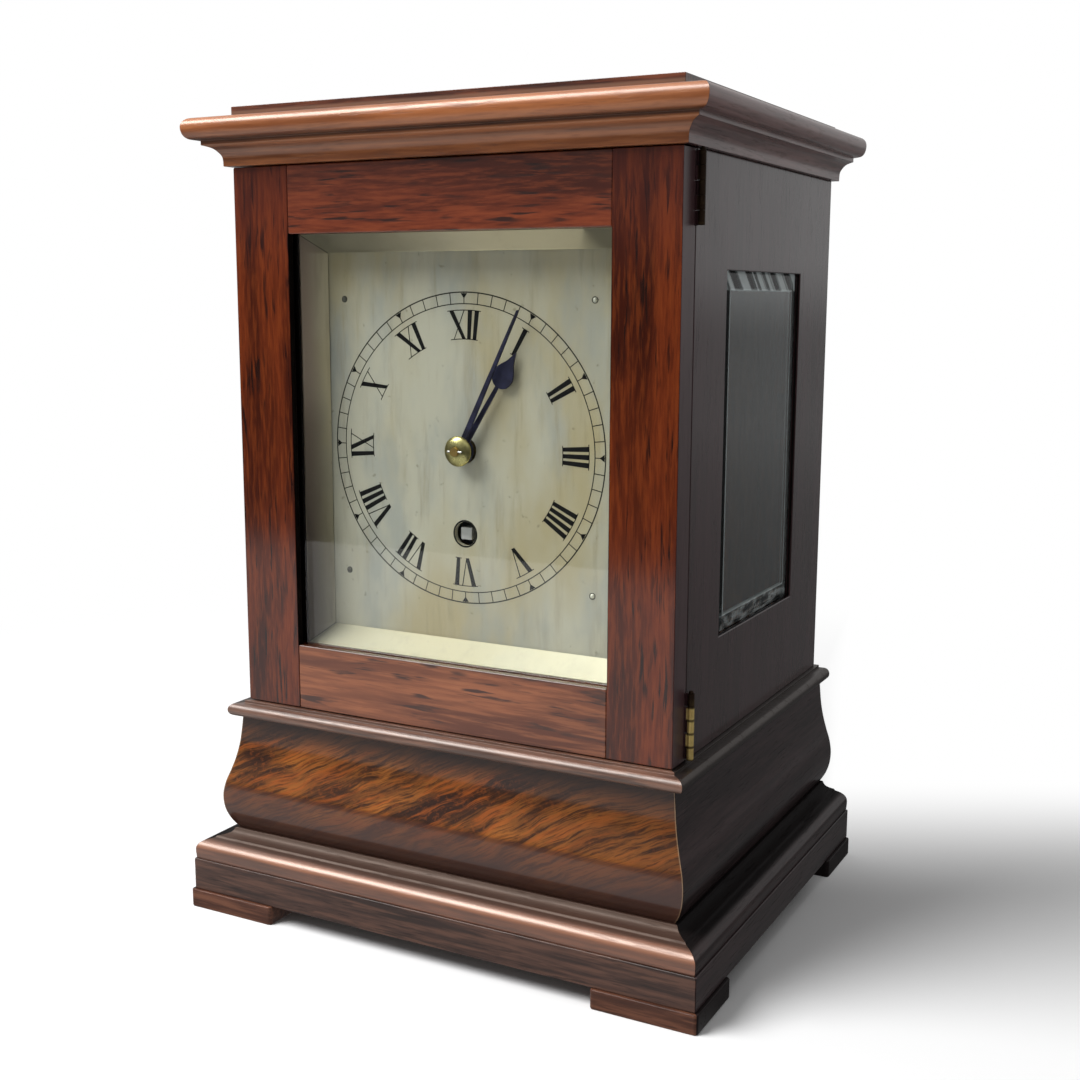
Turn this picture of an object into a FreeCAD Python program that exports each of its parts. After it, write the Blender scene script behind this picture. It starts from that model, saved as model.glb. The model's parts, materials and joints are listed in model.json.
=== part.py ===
import FreeCAD, Part
import math
import os
import Sketcher

# Mantel library clock, millimetres. Origin under the middle of the feet, +Z up, dial toward -Y.

LENGTHS = {
    "case_half": 75.0, "front_deep": 59.5, "rear_deep": 72.5, "moulding_past": 2.0,
    "plinth_high": 10.5, "ovolo_high": 9.3, "ogee_high": 38.4, "waist_high": 4.9, "case_high": 170.2,
    "cornice_high": 14.1, "slab_high": 3.8, "side_thick": 6.0, "door_gap": 0.3, "panel_slack": 0.1,
    "foot_high": 6.0, "foot_over": 15.0, "foot_wide": 33.0, "foot_deep": 26.0, "foot_round": 1.2,
    "plinth_over": 14.0, "strip_in": 6.0, "mitre_spare": 4.0,
    "board_thick": 8.0, "waist_over": 5.2, "waist_round": 1.95, "ledge_over": 1.2, "ledge_thick": 0.8,
    "window_back": 24.8, "window_long": 66.9, "window_up": 31.4, "window_drop": 31.8,
    "window_lip": 1.7, "window_rebate": 3.0, "side_glass_thick": 3.2, "bevel_wide": 8.4, "bevel_deep": 1.3,
    "glass_proud": 0.65, "cornice_over": 11.0, "ogee_over": 6.9, "ovolo_over": 13.6, "top_hollow": 10.0,
    "top_hollow_deep": 8.0, "door_thick": 9.0, "stile_wide": 20.6, "rail_low": 20.6, "rail_high": 20.4,
    "groove_deep": 2.4, "glass_front": 2.4, "glass_thick": 2.0, "rebate_front": 5.6,
    "surround_in": 5.4, "surround_rear": 12.9, "surround_thick": 1.6, "surround_flange": 1.5,
    "knuckle_radius": 1.3, "hinge_out": 1.6, "hinge_long": 19.6, "hinge_in": 0.5,
    "leaf_thick": 0.8, "leaf_wide": 5.5, "knuckle_gap": 0.1, "hinge_pin": 0.6, "pin_clear": 0.05,
    "leaf_clear": 0.3, "pin_head": 1.0, "pin_head_high": 0.8,
    "rear_thick": 7.0, "rear_stile": 17.0, "rear_panel_front": 2.5, "rear_pivot": 1.2, "rear_round": 3.45,
    "pivot_in": 3.0, "pivot_out": 3.0, "turn_radius": 4.2, "turn_high": 3.0, "turn_neck": 1.5,
    "turn_clear": 0.1, "turn_long": 13.0, "turn_bar": 3.0, "turn_bar_thick": 1.5, "turn_slack": 0.3,
    "keep_deep": 4.6, "keep_high": 13.5,
    "dial_gap": 0.3, "dial_thick": 1.6, "dial_in_x": 1.4, "dial_in_z": 2.3, "dial_lower": 0.15,
    "wind_drop": 25.65, "wind_hole": 3.73, "hour_hole": 4.0,
    "dial_foot_in": 9.7, "dial_foot_drop": 17.05, "dial_foot_rise": 21.25, "dial_foot": 1.6,
    "dial_rivet": 0.8, "dial_dome": 0.5,
    "plate_room": 13.1, "plate_thick": 2.2, "plate_half": 47.0, "plate_down": 54.15, "plate_up": 56.85,
    "plate_round": 4.0, "plates_apart": 40.0, "pillar": 3.0, "pillar_x": 41.0, "pillar_inset": 6.0,
    "pillar_tenon": 1.6, "pillar_waist": 2.2, "seat_thick": 8.0, "seat_fore": 6.8, "seat_aft": 2.3,
    "run_clear": 0.05, "pivot": 0.6, "arbor": 1.3, "lock_clear": 0.3,
    "barrel_module": 0.5, "second_module": 0.5, "centre_module": 0.36, "third_module": 0.32,
    "cannon_module": 0.45, "hour_module": 0.504, "escape_radius": 11.0,
    "drum_radius": 19.4, "drum_wall": 1.0, "drum_front": 5.0, "drum_long": 21.0, "flange_thick": 2.6,
    "barrel_arbor": 2.6, "square_side": 3.7, "square_in": 0.7, "spring_thick": 0.8,
    "spring_inner": 7.0, "spring_pitch": 1.25, "spring_high": 16.0, "barrel_shake": 0.2,
    "wheel_thick": 1.6, "pinion_long": 4.2, "hub_radius": 3.4, "spoke_wide": 2.2, "rim_wide": 2.2, "escape_rim": 1.7,
    "second_level": 32.0, "centre_level": 36.6, "third_level": 6.0, "escape_level": 34.0,
    "third_left": 9.0, "pallet_over": 15.4, "anchor_thick": 2.4, "anchor_gap": 1.0, "anchor_wide": 2.2,
    "motion_left": 10.9, "ratchet_radius": 8.6, "ratchet_deep": 1.1, "ratchet_thick": 1.5,
    "ratchet_gap": 0.35, "click_long": 10.5, "click_wide": 2.6, "click_thick": 1.3, "click_hub": 2.4,
    "click_gap": 0.25, "cannon_outer": 2.1, "cannon_bore": 1.35, "hour_outer": 3.0, "hour_bore": 2.15,
    "motion_thick": 1.4, "motion_gap": 0.35, "hour_hand_out": 2.1, "minute_hand_out": 1.8,
    "hand_thick": 0.7, "hour_reach": 35.0, "minute_reach": 46.6, "spade_half": 3.5, "spade_long": 12.0,
    "hand_boss": 4.0, "minute_boss": 3.0, "hour_root": 0.9, "hour_neck": 0.6, "hour_tip": 0.15,
    "minute_root": 1.3, "minute_tip": 0.5, "collet_radius": 4.6, "collet_high": 1.7, "arbor_out": 2.7,
    "taper_long": 5.0, "taper_radius": 0.35,
    "cock_long": 4.2, "cock_thick": 2.4, "cock_half": 9.0, "cock_down": 6.5, "cock_up": 11.0, "cock_lug": 3.4,
    "stud_half": 3.2, "stud_long": 8.0, "stud_down": 4.0, "stud_up": 5.0, "slit_half": 0.45,
    "spring_strip": 0.1, "spring_half": 1.6, "spring_drop": 14.0, "cross_pin": 0.7, "cross_clear": 0.4,
    "cross_pin_half": 2.9, "rod_radius": 1.1, "rod_clear": 14.9, "stud_middle": 2.8, "bob_radius": 15.0,
    "bob_thick": 8.5, "bob_up": 19.0, "nut_radius": 2.6, "nut_high": 3.0, "crutch_out": 2.0,
    "crutch_thick": 1.2, "crutch_drop": 36.0, "crutch_half": 1.0, "fork_half": 3.0, "fork_gap": 1.55,
    "block_half": 2.2, "block_high": 4.8,
}
# Places that follow from the lengths above: heights stack upward, depths run back from the door's face.
PLACES = {
    "front_y": "-front_deep", "rear_y": "rear_deep", "moulding_rear_y": "rear_deep + moulding_past",
    "plinth_top": "foot_high + plinth_high", "moulding_top": "plinth_top + ovolo_high",
    "waist_low": "moulding_top + ogee_high", "waist_top": "waist_low + waist_high",
    "case_top": "waist_top + case_high", "cornice_top": "case_top + cornice_high",
    "top_z": "cornice_top + slab_high", "side_front_y": "front_y + door_thick + door_gap",
    "window_y0": "side_front_y + window_back", "window_y1": "window_y0 + window_long",
    "window_z0": "waist_top + window_up", "window_z1": "case_top - window_drop",
    "door_z0": "waist_top + door_gap", "door_z1": "case_top - door_gap",
    "opening_half": "case_half - stile_wide", "opening_z0": "door_z0 + rail_low",
    "opening_z1": "door_z1 - rail_high", "hinge_z0": "door_z0 + hinge_in",
    "hinge_z1": "door_z1 - hinge_in - hinge_long",
    "dial_y": "front_y + surround_rear + dial_gap", "dial_z": "(opening_z0 + opening_z1) / 2 - dial_lower",
    "dial_half_x": "opening_half - dial_in_x", "dial_half_z": "(opening_z1 - opening_z0) / 2 - dial_in_z",
    "dial_foot_x": "dial_half_x - dial_foot_in",
    "dial_foot_top": "dial_z + dial_half_z - dial_foot_drop",
    "dial_foot_low": "dial_z - dial_half_z + dial_foot_rise",
    "plate_y": "dial_y + plate_room", "plate_z0": "dial_z - plate_down", "plate_z1": "dial_z + plate_up",
    "back_plate_y": "plate_y + plate_thick + plates_apart", "plates_rear_y": "back_plate_y + plate_thick",
    "seat_front": "plate_y - seat_fore", "seat_rear": "plates_rear_y + seat_aft",
    "square_end": "dial_y + square_in", "hour_hand_y": "dial_y - hour_hand_out",
    "minute_hand_y": "hour_hand_y - minute_hand_out", "arbor_end": "minute_hand_y - arbor_out",
    "cock_y": "plates_rear_y + cock_long", "crutch_y": "plates_rear_y + crutch_out",
    "pendulum_y": "cock_y + cock_thick + stud_middle",
}
COUNTS = {
    "barrel_teeth": 84, "second_leaves": 12, "second_teeth": 70, "centre_leaves": 10, "centre_teeth": 96,
    "third_leaves": 8, "third_teeth": 96, "escape_leaves": 8, "escape_teeth": 40, "cannon_teeth": 14,
    "minute_teeth": 42, "minute_leaves": 10, "hour_teeth": 40, "ratchet_teeth": 24, "knuckles": 5,
}
ANGLES = {"hour_turn": 32.2, "minute_turn": 25.8, "anchor_span": 52.0}
# Tooth shapes: share of the pitch, tip width share, heights in modules, shoulder as a share of the tip.
WHEEL_SHARES = {"tooth": 0.43, "tip": 0.4, "add": 0.92, "ded": 1.3, "mid": 0.8, "shoulder": 0.55}
PINION_SHARES = {"tooth": 0.33, "tip": 0.4, "add": 0.6, "ded": 1.35, "mid": 0.8, "shoulder": 0.55}

# Moulding sections as shares of the moulding's overhang and of its height.
CORNICE_SHARES = (
    (0.182, 0.000), (0.200, 0.191), (0.282, 0.298), (0.391, 0.376), (0.532, 0.418),
    (0.609, 0.433), (0.609, 0.525), (0.845, 0.553), (0.955, 0.638), (1.000, 0.780),
    (0.973, 0.894), (0.882, 0.972), (0.782, 1.000))
OGEE_SHARES = (
    (0.478, 0.000), (0.754, 0.083), (0.942, 0.182), (1.000, 0.299), (0.899, 0.417),
    (0.710, 0.521), (0.522, 0.638), (0.391, 0.755), (0.319, 0.859), (0.246, 1.000))
PLINTH_SHARES = (
    (0.985, 0.000), (1.000, 0.344), (0.949, 0.527), (0.824, 0.645), (0.662, 0.699),
    (0.632, 0.753), (0.485, 0.785), (0.375, 0.860), (0.316, 1.000))
# Turned and flat outlines as shares: of radius, then of length or height.
COLLET_SHARES = ((1.0, 0.0), (1.0, 0.18), (0.94, 0.42), (0.8, 0.68), (0.6, 0.88), (0.42, 1.0))
KNOB_SHARES = ((0.8, 0.0), (1.0, 0.1), (1.0, 0.35), (0.7, 0.45), (0.0, 0.5))
BOB_SHARES = ((0.0, 0.5), (0.55, 0.42), (0.9, 0.2), (1.0, 0.06))
SPADE_SHARES = ((0.45, 0.97), (0.82, 0.88), (1.0, 0.72), (0.97, 0.6), (0.72, 0.45), (0.4, 0.3), (0.2, 0.15))
ESCAPE_SHARES = ((0.86, 0.0), (1.0, 0.62), (1.0, 0.70), (0.86, 0.86))
RATCHET_SHARES = (0.0, 0.86, 0.95)
PILLAR_SHARES = (0.1, 0.16)
RIVET_SHARES = (0.6, 0.8)

os.makedirs("parts", exist_ok=True)
doc = FreeCAD.newDocument("library_clock")
sheet = doc.addObject("Spreadsheet::Sheet", "Sizes")
made = []


class Size:
    """A number together with the sheet expression that gives it."""

    def __init__(self, value, text):
        self.value = value
        self.text = text

    def join(self, other, sign, swap=False):
        other = other if isinstance(other, Size) else Size(float(other), "%.9g" % other)
        left, right = (other, self) if swap else (self, other)
        value = {"+": lambda: left.value + right.value, "-": lambda: left.value - right.value,
                 "*": lambda: left.value * right.value, "/": lambda: left.value / right.value}[sign]()
        return Size(value, "(%s %s %s)" % (left.text, sign, right.text))

    def __add__(self, other):
        return self.join(other, "+")

    def __radd__(self, other):
        return self.join(other, "+", True)

    def __sub__(self, other):
        return self.join(other, "-")

    def __rsub__(self, other):
        return self.join(other, "-", True)

    def __mul__(self, other):
        return self.join(other, "*")

    def __rmul__(self, other):
        return self.join(other, "*", True)

    def __truediv__(self, other):
        return self.join(other, "/")

    def __neg__(self):
        return self.join(-1, "*")


def fill_sheet():
    names = []
    for group in (LENGTHS, COUNTS, ANGLES, PLACES):
        for name, value in group.items():
            names.append(name)
            sheet.set("A%d" % len(names), name)
            sheet.set("B%d" % len(names), "=" + value if isinstance(value, str) else "%.9g" % value)
            sheet.setAlias("B%d" % len(names), name)
    doc.recompute()
    return {name: Size(float(sheet.get(name)), "Sizes.%s" % name) for name in names}


S = fill_sheet()
ZERO = Size(0.0, "0")


def size(value):
    return value if isinstance(value, Size) else Size(float(value), "%.9g" % value)


def bind(item, field, value):
    """Give a property its value by an expression."""
    item.setExpression(field, size(value).text)


def body(name, place=None, rotation=None):
    made_body = doc.addObject("PartDesign::Body", name)
    made_body.Label = name
    if rotation is not None:
        made_body.Placement = FreeCAD.Placement(FreeCAD.Vector(), rotation)
    for axis, value in zip("xyz", place or ()):
        bind(made_body, "Placement.Base.%s" % axis, value)
    made.append(made_body)
    return made_body


def plane_sketch(owner, plane, offset=ZERO):
    sketch = owner.newObject("Sketcher::SketchObject", "%s_sketch" % owner.Name)
    origin = [item for item in owner.Origin.OriginFeatures if item.Role == plane][0]
    sketch.AttachmentSupport = [(origin, "")]
    sketch.MapMode = "FlatFace"
    if offset is not ZERO:
        bind(sketch, "AttachmentOffset.Base.z", offset)
    return sketch


def draw_points(sketch, points):
    """A closed outline whose corners are all held by expressions."""
    first = sketch.GeometryCount
    count = len(points)
    spots = [FreeCAD.Vector(size(a).value, size(b).value, 0) for a, b in points]
    sketch.addGeometry([Part.LineSegment(spots[i], spots[(i + 1) % count]) for i in range(count)])
    for i in range(count):
        sketch.addConstraint(Sketcher.Constraint("Coincident", first + i, 2, first + (i + 1) % count, 1))
    for i, (a, b) in enumerate(points):
        for kind, value in (("DistanceX", size(a)), ("DistanceY", size(b))):
            index = sketch.addConstraint(Sketcher.Constraint(kind, -1, 1, first + i, 1, value.value))
            bind(sketch, "Constraints[%d]" % index, value)


def draw_circle(sketch, a, b, radius):
    first = sketch.GeometryCount
    centre = FreeCAD.Vector(size(a).value, size(b).value, 0)
    sketch.addGeometry(Part.Circle(centre, FreeCAD.Vector(0, 0, 1), size(radius).value))
    for kind, value in (("DistanceX", size(a)), ("DistanceY", size(b))):
        index = sketch.addConstraint(Sketcher.Constraint(kind, -1, 1, first, 3, value.value))
        bind(sketch, "Constraints[%d]" % index, value)
    index = sketch.addConstraint(Sketcher.Constraint("Radius", first, size(radius).value))
    bind(sketch, "Constraints[%d]" % index, radius)


def draw_rect(sketch, a0, b0, a1, b1):
    draw_points(sketch, ((a0, b0), (a1, b0), (a1, b1), (a0, b1)))


def pad(owner, sketch, length, flip=False, middle=False):
    made_pad = owner.newObject("PartDesign::Pad", "%s_pad" % owner.Name)
    made_pad.Profile = sketch
    bind(made_pad, "Length", length)
    made_pad.Reversed = flip
    made_pad.Midplane = middle
    sketch.Visibility = False
    return made_pad


def pocket(owner, sketch, length, flip=False, middle=False):
    cut = owner.newObject("PartDesign::Pocket", "%s_pocket" % owner.Name)
    cut.Profile = sketch
    bind(cut, "Length", length)
    cut.Reversed = flip
    cut.Midplane = middle
    sketch.Visibility = False
    return cut


def revolve(owner, sketch):
    turned = owner.newObject("PartDesign::Revolution", "%s_turn" % owner.Name)
    turned.Profile = sketch
    turned.ReferenceAxis = (sketch, ["V_Axis"])
    turned.Angle = 360.0
    sketch.Visibility = False
    return turned


def soften(owner, radius, keep):
    """Round the edges that keep() picks by their box."""
    doc.recompute()
    before = owner.Tip
    names = ["Edge%d" % (i + 1) for i, edge in enumerate(before.Shape.Edges) if keep(edge.BoundBox)]
    rounded = owner.newObject("PartDesign::Fillet", "%s_round" % owner.Name)
    rounded.Base = (before, names)
    bind(rounded, "Radius", radius)


def block(name, x0, x1, y0, y1, z0, z1, place=None, rotation=None):
    """A board: rectangle in plan, padded upward."""
    owner = body(name, place, rotation)
    sketch = plane_sketch(owner, "XY_Plane", z0)
    draw_rect(sketch, x0, y0, x1, y1)
    pad(owner, sketch, z1 - z0)
    return owner


def cut_box(owner, x0, x1, y0, y1, z0, z1):
    sketch = plane_sketch(owner, "XY_Plane", z0)
    draw_rect(sketch, x0, y0, x1, y1)
    return pocket(owner, sketch, z1 - z0, flip=True)


def group(name, pieces):
    """Several separate solids of one kind as one node."""
    joined = doc.addObject("Part::Compound", name)
    joined.Label = name
    joined.Links = pieces
    for piece in pieces:
        made.remove(piece)
    made.append(joined)
    return joined


def turn_z(degrees):
    return FreeCAD.Rotation(FreeCAD.Vector(0, 0, 1), degrees)


def facing(degrees=0):
    """Local Z points to the rear (+Y) and local Y points down, turned about the new axis."""
    return FreeCAD.Rotation(FreeCAD.Vector(0, 1, 0), degrees).multiply(
        FreeCAD.Rotation(FreeCAD.Vector(1, 0, 0), -90))


def strip(name, section, face, low, high, low_mitre, high_mitre, rotation, place=None):
    """A straight moulding along local X with its outside toward local -Y; ends square or mitred."""
    owner = body(name, place, rotation)
    outs = [size(out) for out, _ in section]
    most = max(outs, key=lambda item: item.value)
    least = min(outs, key=lambda item: item.value)
    heights = sorted((size(high_) for _, high_ in section), key=lambda item: item.value)
    spare = S["mitre_spare"]
    start = low - (most + spare if low_mitre else ZERO)
    end = high + (most + spare if high_mitre else ZERO)
    sketch = plane_sketch(owner, "YZ_Plane", start)
    draw_points(sketch, [(-face - out, rise) for out, rise in section])
    pad(owner, sketch, end - start)
    for corner, sign, wanted in ((low, -1, low_mitre), (high, 1, high_mitre)):
        if not wanted:
            continue
        cut = plane_sketch(owner, "XY_Plane", heights[0] - spare)
        inner = -least + spare
        outer = most + spare + spare
        draw_points(cut, ((corner - sign * inner, inner - face), (corner + sign * outer, -outer - face),
                          (corner + sign * (outer + spare), inner - face)))
        pocket(owner, cut, heights[-1] - heights[0] + spare + spare, flip=True)
    return owner


def three_sides(name, section):
    """Front, left and right lengths of one moulding, mitred at the two front corners."""
    half, front, rear = S["case_half"], -S["front_y"], S["moulding_rear_y"]
    strip("%s_front" % name, section, front, -half, half, True, True, turn_z(0))
    strip("%s_right" % name, section, half, -front, rear, True, False, turn_z(90))
    strip("%s_left" % name, section, half, -rear, front, False, True, turn_z(-90))


def section_of(shares, over, foot, top):
    """Stretch a table of shares between two heights and close it on its inner side."""
    inner = -S["strip_in"]
    rows = [(over * out, foot + (top - foot) * rise) for out, rise in shares]
    return [(inner, foot)] + rows + [(inner, top)]


def upright(box):
    return box.ZLength > box.XLength + box.YLength


def lengthwise(box):
    return box.YLength > box.XLength + box.ZLength


def make_base():
    half, front, rear = S["case_half"], S["front_y"], S["moulding_rear_y"]
    over, wide, deep = S["foot_over"], S["foot_wide"], S["foot_deep"]
    feet = []
    for side in (-1, 1):
        for y0, y1 in ((front - over, front - over + deep), (rear - deep, rear)):
            x_out = side * (half + over)
            foot = block("foot", x_out - side * wide, x_out, y0, y1, ZERO, S["foot_high"])
            soften(foot, S["foot_round"], upright)
            feet.append(foot)
    group("feet", feet)
    inner = -S["strip_in"]
    out = S["plinth_over"]
    rail = ((inner, S["foot_high"]), (out, S["foot_high"]), (out, S["plinth_top"]), (inner, S["plinth_top"]))
    three_sides("plinth", rail)
    three_sides("plinth_moulding", section_of(PLINTH_SHARES, S["ovolo_over"], S["plinth_top"],
                                              S["moulding_top"]))
    three_sides("ogee", section_of(OGEE_SHARES, S["ogee_over"], S["moulding_top"], S["waist_low"]))
    block("base_back", -half + S["strip_in"], half - S["strip_in"], rear - S["board_thick"], rear,
          S["foot_high"], S["waist_low"])


def make_waist():
    half, front, rear = S["case_half"], S["front_y"], S["moulding_rear_y"]
    out = S["waist_over"]
    owner = block("waist_board", -half - out, half + out, front - out, rear, S["waist_low"],
                  S["waist_top"] - S["ledge_thick"])
    soften(owner, S["waist_round"], lambda box: lengthwise(box) or (not upright(box) and box.YMax < 0))
    ledge = S["ledge_over"]
    step = plane_sketch(owner, "XY_Plane", S["waist_top"] - S["ledge_thick"])
    draw_rect(step, -half - ledge, front - ledge, half + ledge, rear)
    pad(owner, step, S["ledge_thick"])
    hole = plane_sketch(owner, "XY_Plane", S["waist_top"])
    draw_circle(hole, rear_pivot_x(), rear_pivot_y(), S["rear_pivot"] + S["pin_clear"])
    pocket(owner, hole, S["pivot_out"] + S["knuckle_gap"])


def make_sides():
    half, thick = S["case_half"], S["side_thick"]
    y0, y1 = S["side_front_y"], S["rear_y"]
    for name, side in (("left_side", -1), ("right_side", 1)):
        x_in, x_out = side * (half - thick), side * half
        owner = block(name, x_in, x_out, y0, y1, S["waist_top"], S["case_top"])
        grow = S["window_rebate"]
        cut_box(owner, x_in - side * thick, x_out + side * thick, S["window_y0"], S["window_y1"],
                S["window_z0"], S["window_z1"])
        cut_box(owner, x_in - side * thick, x_out - side * S["window_lip"], S["window_y0"] - grow,
                S["window_y1"] + grow, S["window_z0"] - grow, S["window_z1"] + grow)
        if side > 0:
            for z0 in (S["hinge_z0"], S["hinge_z1"]):
                cut_box(owner, half - S["leaf_wide"], half + thick, y0 - thick, y0 + S["leaf_thick"],
                        z0, z0 + S["hinge_long"])
            slack = S["turn_slack"]
            bar_y = y1 - S["rear_thick"]
            low = S["dial_z"] - S["turn_bar"] / 2 - slack
            cut_box(owner, x_in - thick, x_in + S["keep_deep"], bar_y - S["turn_bar_thick"] - slack - slack,
                    bar_y, low, S["dial_z"] + S["keep_high"])
        make_side_glass(side)


def make_side_glass(side):
    grow = S["window_rebate"]
    outer = S["case_half"] - S["window_lip"] + S["glass_proud"]
    inner = outer - S["side_glass_thick"]
    name = "side_glass_right" if side > 0 else "side_glass_left"
    owner = body(name)
    sketch = plane_sketch(owner, "YZ_Plane", side * inner)
    draw_rect(sketch, S["window_y0"] - grow, S["window_z0"] - grow, S["window_y1"] + grow,
              S["window_z1"] + grow)
    pad(owner, sketch, S["side_glass_thick"], flip=side < 0)
    doc.recompute()
    before = owner.Tip
    outermost = outer_face(before.Shape, side)
    bevel = owner.newObject("PartDesign::Chamfer", "%s_bevel" % name)
    bevel.Base = (before, ["Face%d" % (outermost + 1)])
    bevel.ChamferType = "Two distances"
    bind(bevel, "Size", S["bevel_deep"])
    bind(bevel, "Size2", S["bevel_wide"])
    doc.recompute()
    solid = bevel.Shape
    flat = solid.Faces[outer_face(solid, side)]
    if solid.BoundBox.YLength - flat.BoundBox.YLength < (S["bevel_wide"] + S["bevel_deep"]).value:
        bevel.FlipDirection = True
        doc.recompute()


def outer_face(shape, side):
    """Index of the face farthest out on one side of the case."""
    return max(range(len(shape.Faces)), key=lambda index: side * shape.Faces[index].CenterOfMass.x)


def make_top():
    half, front, rear = S["case_half"], S["front_y"], S["moulding_rear_y"]
    three_sides("cornice", section_of(CORNICE_SHARES, S["cornice_over"], S["case_top"], S["cornice_top"]))
    inner = half - S["strip_in"]
    owner = block("top_panel", -inner, inner, front + S["strip_in"], rear, S["case_top"], S["cornice_top"])
    slab = plane_sketch(owner, "XY_Plane", S["cornice_top"])
    draw_rect(slab, -half, front, half, rear)
    pad(owner, slab, S["top_z"] - S["cornice_top"])
    rim = S["top_hollow"]
    cut_box(owner, -inner + rim, inner - rim, front + S["strip_in"] + rim, rear - rim - rim / 2,
            S["case_top"] - rim, S["case_top"] + S["top_hollow_deep"])
    hole = plane_sketch(owner, "XY_Plane", S["case_top"])
    draw_circle(hole, rear_pivot_x(), rear_pivot_y(), S["rear_pivot"] + S["pin_clear"])
    pocket(owner, hole, S["pivot_out"] + S["knuckle_gap"], flip=True)


def door_section():
    """Depths of the front door measured from its front face: groove and rebate."""
    front = S["front_y"]
    groove = (front + S["glass_front"], front + S["glass_front"] + S["glass_thick"])
    rebate = (front + S["rebate_front"], front + S["door_thick"])
    return groove, rebate


def make_door():
    half, hole = S["case_half"], S["opening_half"]
    front, back = S["front_y"], S["front_y"] + S["door_thick"]
    z0, z1 = S["door_z0"], S["door_z1"]
    low, top, deep = S["opening_z0"], S["opening_z1"], S["groove_deep"]
    groove, rebate = door_section()
    for name, side in (("door_stile_left", -1), ("door_stile_right", 1)):
        owner = block(name, side * hole, side * half, front, back, z0, z1)
        for y0, y1 in (groove, rebate):
            cut_box(owner, side * (hole - deep), side * (hole + deep), y0, y1, low - deep, top + deep)
        if side > 0:
            for hinge in (S["hinge_z0"], S["hinge_z1"]):
                cut_box(owner, half - S["leaf_wide"], half + deep, back - S["leaf_thick"], back + deep,
                        hinge, hinge + S["hinge_long"])
    for name, base, crown, edge, sign in (("door_rail_bottom", z0, low, low, -1),
                                          ("door_rail_top", top, z1, top, 1)):
        owner = block(name, -hole, hole, front, back, base, crown)
        for y0, y1 in (groove, rebate):
            cut_box(owner, -half, half, y0, y1, edge - sign * deep, edge + sign * deep)
    reach = deep - S["panel_slack"]
    block("door_glass", -hole - reach, hole + reach, groove[0], groove[1], low - reach, top + reach)
    make_surround(rebate[0])


def make_surround(rebate_y):
    """Four splayed strips, mitred, behind the door glass."""
    start, rear = rebate_y, S["front_y"] + S["surround_rear"]
    thick, flange, out = S["surround_thick"], S["surround_flange"], S["groove_deep"]
    inner = -S["surround_in"]
    section = ((out, start), (ZERO, start), (inner, rear), (inner + thick, rear), (thick, start + flange),
               (out, start + flange))
    half = S["opening_half"]
    middle = (S["opening_z0"] + S["opening_z1"]) / 2
    tall = (S["opening_z1"] - S["opening_z0"]) / 2
    strips = []
    for degrees, face, ends in ((0, tall, half), (90, half, tall), (180, tall, half), (270, half, tall)):
        made_strip = strip("surround_strip", section, face, -ends, ends, True, True, facing(degrees),
                           (ZERO, ZERO, middle))
        strips.append(made_strip)
    group("dial_surround", strips)


def hinge_axis():
    x = S["case_half"] + S["hinge_out"]
    y = S["front_y"] + S["door_thick"] + S["door_gap"] / 2
    return x, y


def hinge_half(name, base, own, sign):
    """One leaf with its knuckles; sign -1 is the door's leaf, +1 the case's."""
    x, y = hinge_axis()
    pitch = S["hinge_long"] / S["knuckles"]
    radius, bore = S["knuckle_radius"], S["hinge_pin"] + S["pin_clear"]
    half, gap = S["case_half"], S["door_gap"] / 2
    near, far = y + sign * gap, y + sign * (gap + S["leaf_thick"])
    owner = block(name, half - S["leaf_wide"], x - radius - S["leaf_clear"], near, far, base,
                  base + S["hinge_long"])
    for index in own:
        low = base + pitch * index + S["knuckle_gap"] / 2
        tall = pitch - S["knuckle_gap"]
        tab = plane_sketch(owner, "XY_Plane", low)
        draw_rect(tab, half - S["leaf_wide"], near, x, far)
        pad(owner, tab, tall)
        barrel = plane_sketch(owner, "XY_Plane", low)
        draw_circle(barrel, x, y, radius)
        pad(owner, barrel, tall)
    hole = plane_sketch(owner, "XY_Plane", base)
    draw_circle(hole, x, y, bore)
    pocket(owner, hole, S["hinge_long"], flip=True)
    return owner


def make_hinges():
    x, y = hinge_axis()
    case_leaves, door_leaves, pins = [], [], []
    for base in (S["hinge_z0"], S["hinge_z1"]):
        case_leaves.append(hinge_half("case_leaf", base, (0, 2, 4), 1))
        door_leaves.append(hinge_half("door_leaf", base, (1, 3), -1))
        pin = body("hinge_pin_piece", (x, y, base))
        outline = plane_sketch(pin, "XZ_Plane")
        end, cap, head = S["hinge_long"], S["pin_head_high"], S["pin_head"]
        core = S["hinge_pin"]
        draw_points(outline, ((ZERO, ZERO), (core, ZERO), (core, end), (head, end), (head, end + cap / 2),
                              (core, end + cap), (ZERO, end + cap)))
        revolve(pin, outline)
        pins.append(pin)
    group("hinge_case_leaves", case_leaves)
    group("hinge_door_leaves", door_leaves)
    group("hinge_pins", pins)


def rear_pivot_x():
    return -(S["case_half"] - S["side_thick"] - S["door_gap"] - S["rear_thick"] / 2)


def rear_pivot_y():
    return S["rear_y"] - S["rear_thick"] / 2


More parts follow.
